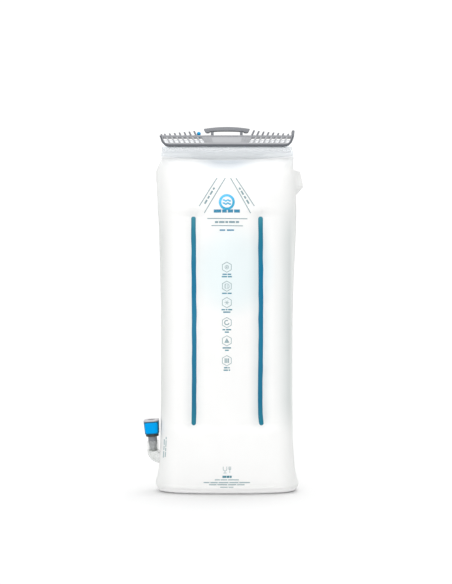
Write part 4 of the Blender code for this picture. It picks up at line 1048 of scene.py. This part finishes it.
def make_elbow():
    """The clear elbow: one tube from the flange inside the bag to the cuff round the stem."""
    arm = [(ARM_INNER_X + dx, PORT_Z) for dx in (0.0001, -0.0012, -0.0013, -0.0014)]
    arm += [(-0.079, PORT_Z), (ARM_BEND_X + 0.0004, PORT_Z)]
    centre = PORT_Z + ELBOW_BEND
    arm += [(ARM_BEND_X + ELBOW_BEND * math.cos(a), centre + ELBOW_BEND * math.sin(a))
            for a in np.radians(np.linspace(270, 180 - math.degrees(TILT), 25))]
    path = [Vector((x, 0, z)) for x, z in arm]
    top, foot = COUPLING @ Vector((0, 0, 0)), path[-1]
    path += [foot.lerp(top, share) for share in (0.1, 0.5, 0.8, 0.86, 0.88, 0.97, 1.0)]
    # the flange with its rounded foot, the plain tube, then the raised rim of the cuff
    radii = [FLANGE_RADIUS] * 2 + [FLANGE_RADIUS - 0.0006, ELBOW_RADIUS + 0.0006]
    radii += [ELBOW_RADIUS] * (len(path) - 8)
    radii += [ELBOW_RADIUS + rim for rim in (0.0003, 0.0004, 0.0004, 0)]
    outer, inner = [], []
    for i, p in enumerate(path):
        side = Vector((0, 1, 0))
        lift = heading(path, i).cross(side)
        around = [side * a + lift * b for a, b in ellipse(1, 1, 40)]
        outer.append([p + d * radii[i] for d in around])
        inner.append([p + d * ELBOW_BORE for d in around])
    rings = outer + inner[::-1]
    points = [q for ring in rings for q in ring]
    faces = grid_faces(len(rings), 40, closed=True)
    end = len(points) - 40
    faces += [(end + c, end + (c + 1) % 40, (c + 1) % 40, c) for c in range(40)]
    tube = apply_modifiers(mesh_object("elbow_tube", points, faces, CLEAR_PORT))
    put(tube, "bag", "clear_port", "port_elbow")


def make_springs():
    """The springs again, as steel pieces of their own."""
    along = COUPLING.to_3x3() @ Vector((0, 0, 1))
    seat = COUPLING @ Vector((0, 0, -0.0044))
    for node, joint, axis, anchor in (
        ("button_spring_left", "button_press", (0, 1, 0), (0, 0.0009, 0)),
        ("button_spring_right", "button_press", (0, 1, 0), (0, 0.0009, 0)),
        ("poppet_spring", "poppet_lift", tuple(along), tuple(seat)),
    ):
        piece = add_object(node + "_wire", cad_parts[node].data.copy())
        finish(piece, STEEL, 0.0)
        put(piece, "bag", "spring_steel", node)
        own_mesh(piece)


# ---- the CAD's hard parts
SHARP_ANGLE = math.radians(35)


def finish(thing, material, edge):
    """Gives a CAD solid its material and small rounded edges; its own vertices stay."""
    mesh = thing.data
    if "custom_normal" in mesh.attributes:
        mesh.attributes.remove(mesh.attributes["custom_normal"])
    mesh.materials.clear()
    mesh.materials.append(material)
    for face in mesh.polygons:
        face.material_index = 0
        face.use_smooth = True
    thing.modifiers.new("weld", "WELD").merge_threshold = 1e-5
    if edge:
        bevel = thing.modifiers.new("edge", "BEVEL")
        bevel.width, bevel.segments = edge, 2
        bevel.limit_method, bevel.angle_limit = "ANGLE", SHARP_ANGLE
        bevel.use_clamp_overlap = True
        bevel.harden_normals = True
    else:
        mesh.set_sharp_from_angle(angle=SHARP_ANGLE)


def finish_nodes():
    for node, material, edge, slot in (
        ("slider_body", SLIDER, 0.00022, "slider_grey"),
        ("hanger_bar", HANGER, 0.0003, "grip_dark_grey"),
        ("tether_stud", STUD, 0.0001, "button_blue"),
        # the bead carries the folded band's painted glow
        ("fold_bead", FOLDED, 0.0002, "clear_band"),
        ("coupling_body", GREY, 0.00022, "coupling_grey"),
        ("base_collar", DARK, 0.0003, "grip_dark_grey"),
        ("socket_bezel", PALE, 0.0002, "valve_pale_grey"),
        ("socket_seal", RUBBER, 0.0, "seal_rubber"),
        ("spring_retainer", PALE, 0.0001, "valve_pale_grey"),
        ("release_button", BLUE, 0.0003, "button_blue"),
        ("latch_plate", STEEL, 0.0001, "spring_steel"),
        ("valve_poppet", PALE, 0.0001, "valve_pale_grey"),
        ("poppet_seal", RUBBER, 0.0, "seal_rubber"),
    ):
        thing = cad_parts[node]
        finish(thing, material, edge)


# ---- studio
FLOOR_Z = -0.0003


def soft_light(name, place, strength, spread):
    """A broad studio light so far off that it falls evenly; spread is its width in degrees."""
    lamp = bpy.data.lights.new(name, "SUN")
    lamp.energy, lamp.angle = strength, math.radians(spread)
    thing = add_object(name, lamp)
    thing.location = place
    thing.rotation_euler = (-Vector(place)).to_track_quat("-Z", "Y").to_euler()


def make_studio():
    scene = bpy.context.scene
    scene.view_settings.view_transform = "Standard"
    scene.world = bpy.data.worlds.new("studio")
    scene.world.use_nodes = True
    sky = scene.world.node_tree.nodes["Background"].inputs
    sky["Color"].default_value = (1.0, 1.0, 1.0, 1)
    sky["Strength"].default_value = 1.08
    corners = [(-6, -6, FLOOR_Z), (6, -6, FLOOR_Z), (6, 6, FLOOR_Z), (-6, 6, FLOOR_Z)]
    floor = mesh_object("floor", corners, [(0, 1, 2, 3)], floor_paint(), smooth=False)
    soft_light("key", (-0.45, -2.3, 0.55), 1.15, 40)
    soft_light("top", (0.05, 0.22, 2.2), 1.2, 30)
    camera = bpy.data.cameras.new("camera")
    camera.lens, camera.sensor_width = 59.63, 36.0
    camera.clip_start, camera.clip_end = 0.02, 50.0
    thing = add_object("camera", camera)
    thing.location = (-0.001, -1.2, 0.246)
    thing.rotation_euler = (math.pi / 2, 0, 0)
    scene.camera = thing


make_film()
make_gussets()
make_base()
make_welds()
make_mouth()
make_prints()
make_slider_trim()
make_button_pad()
make_elbow()
make_springs()
finish_nodes()
make_studio()
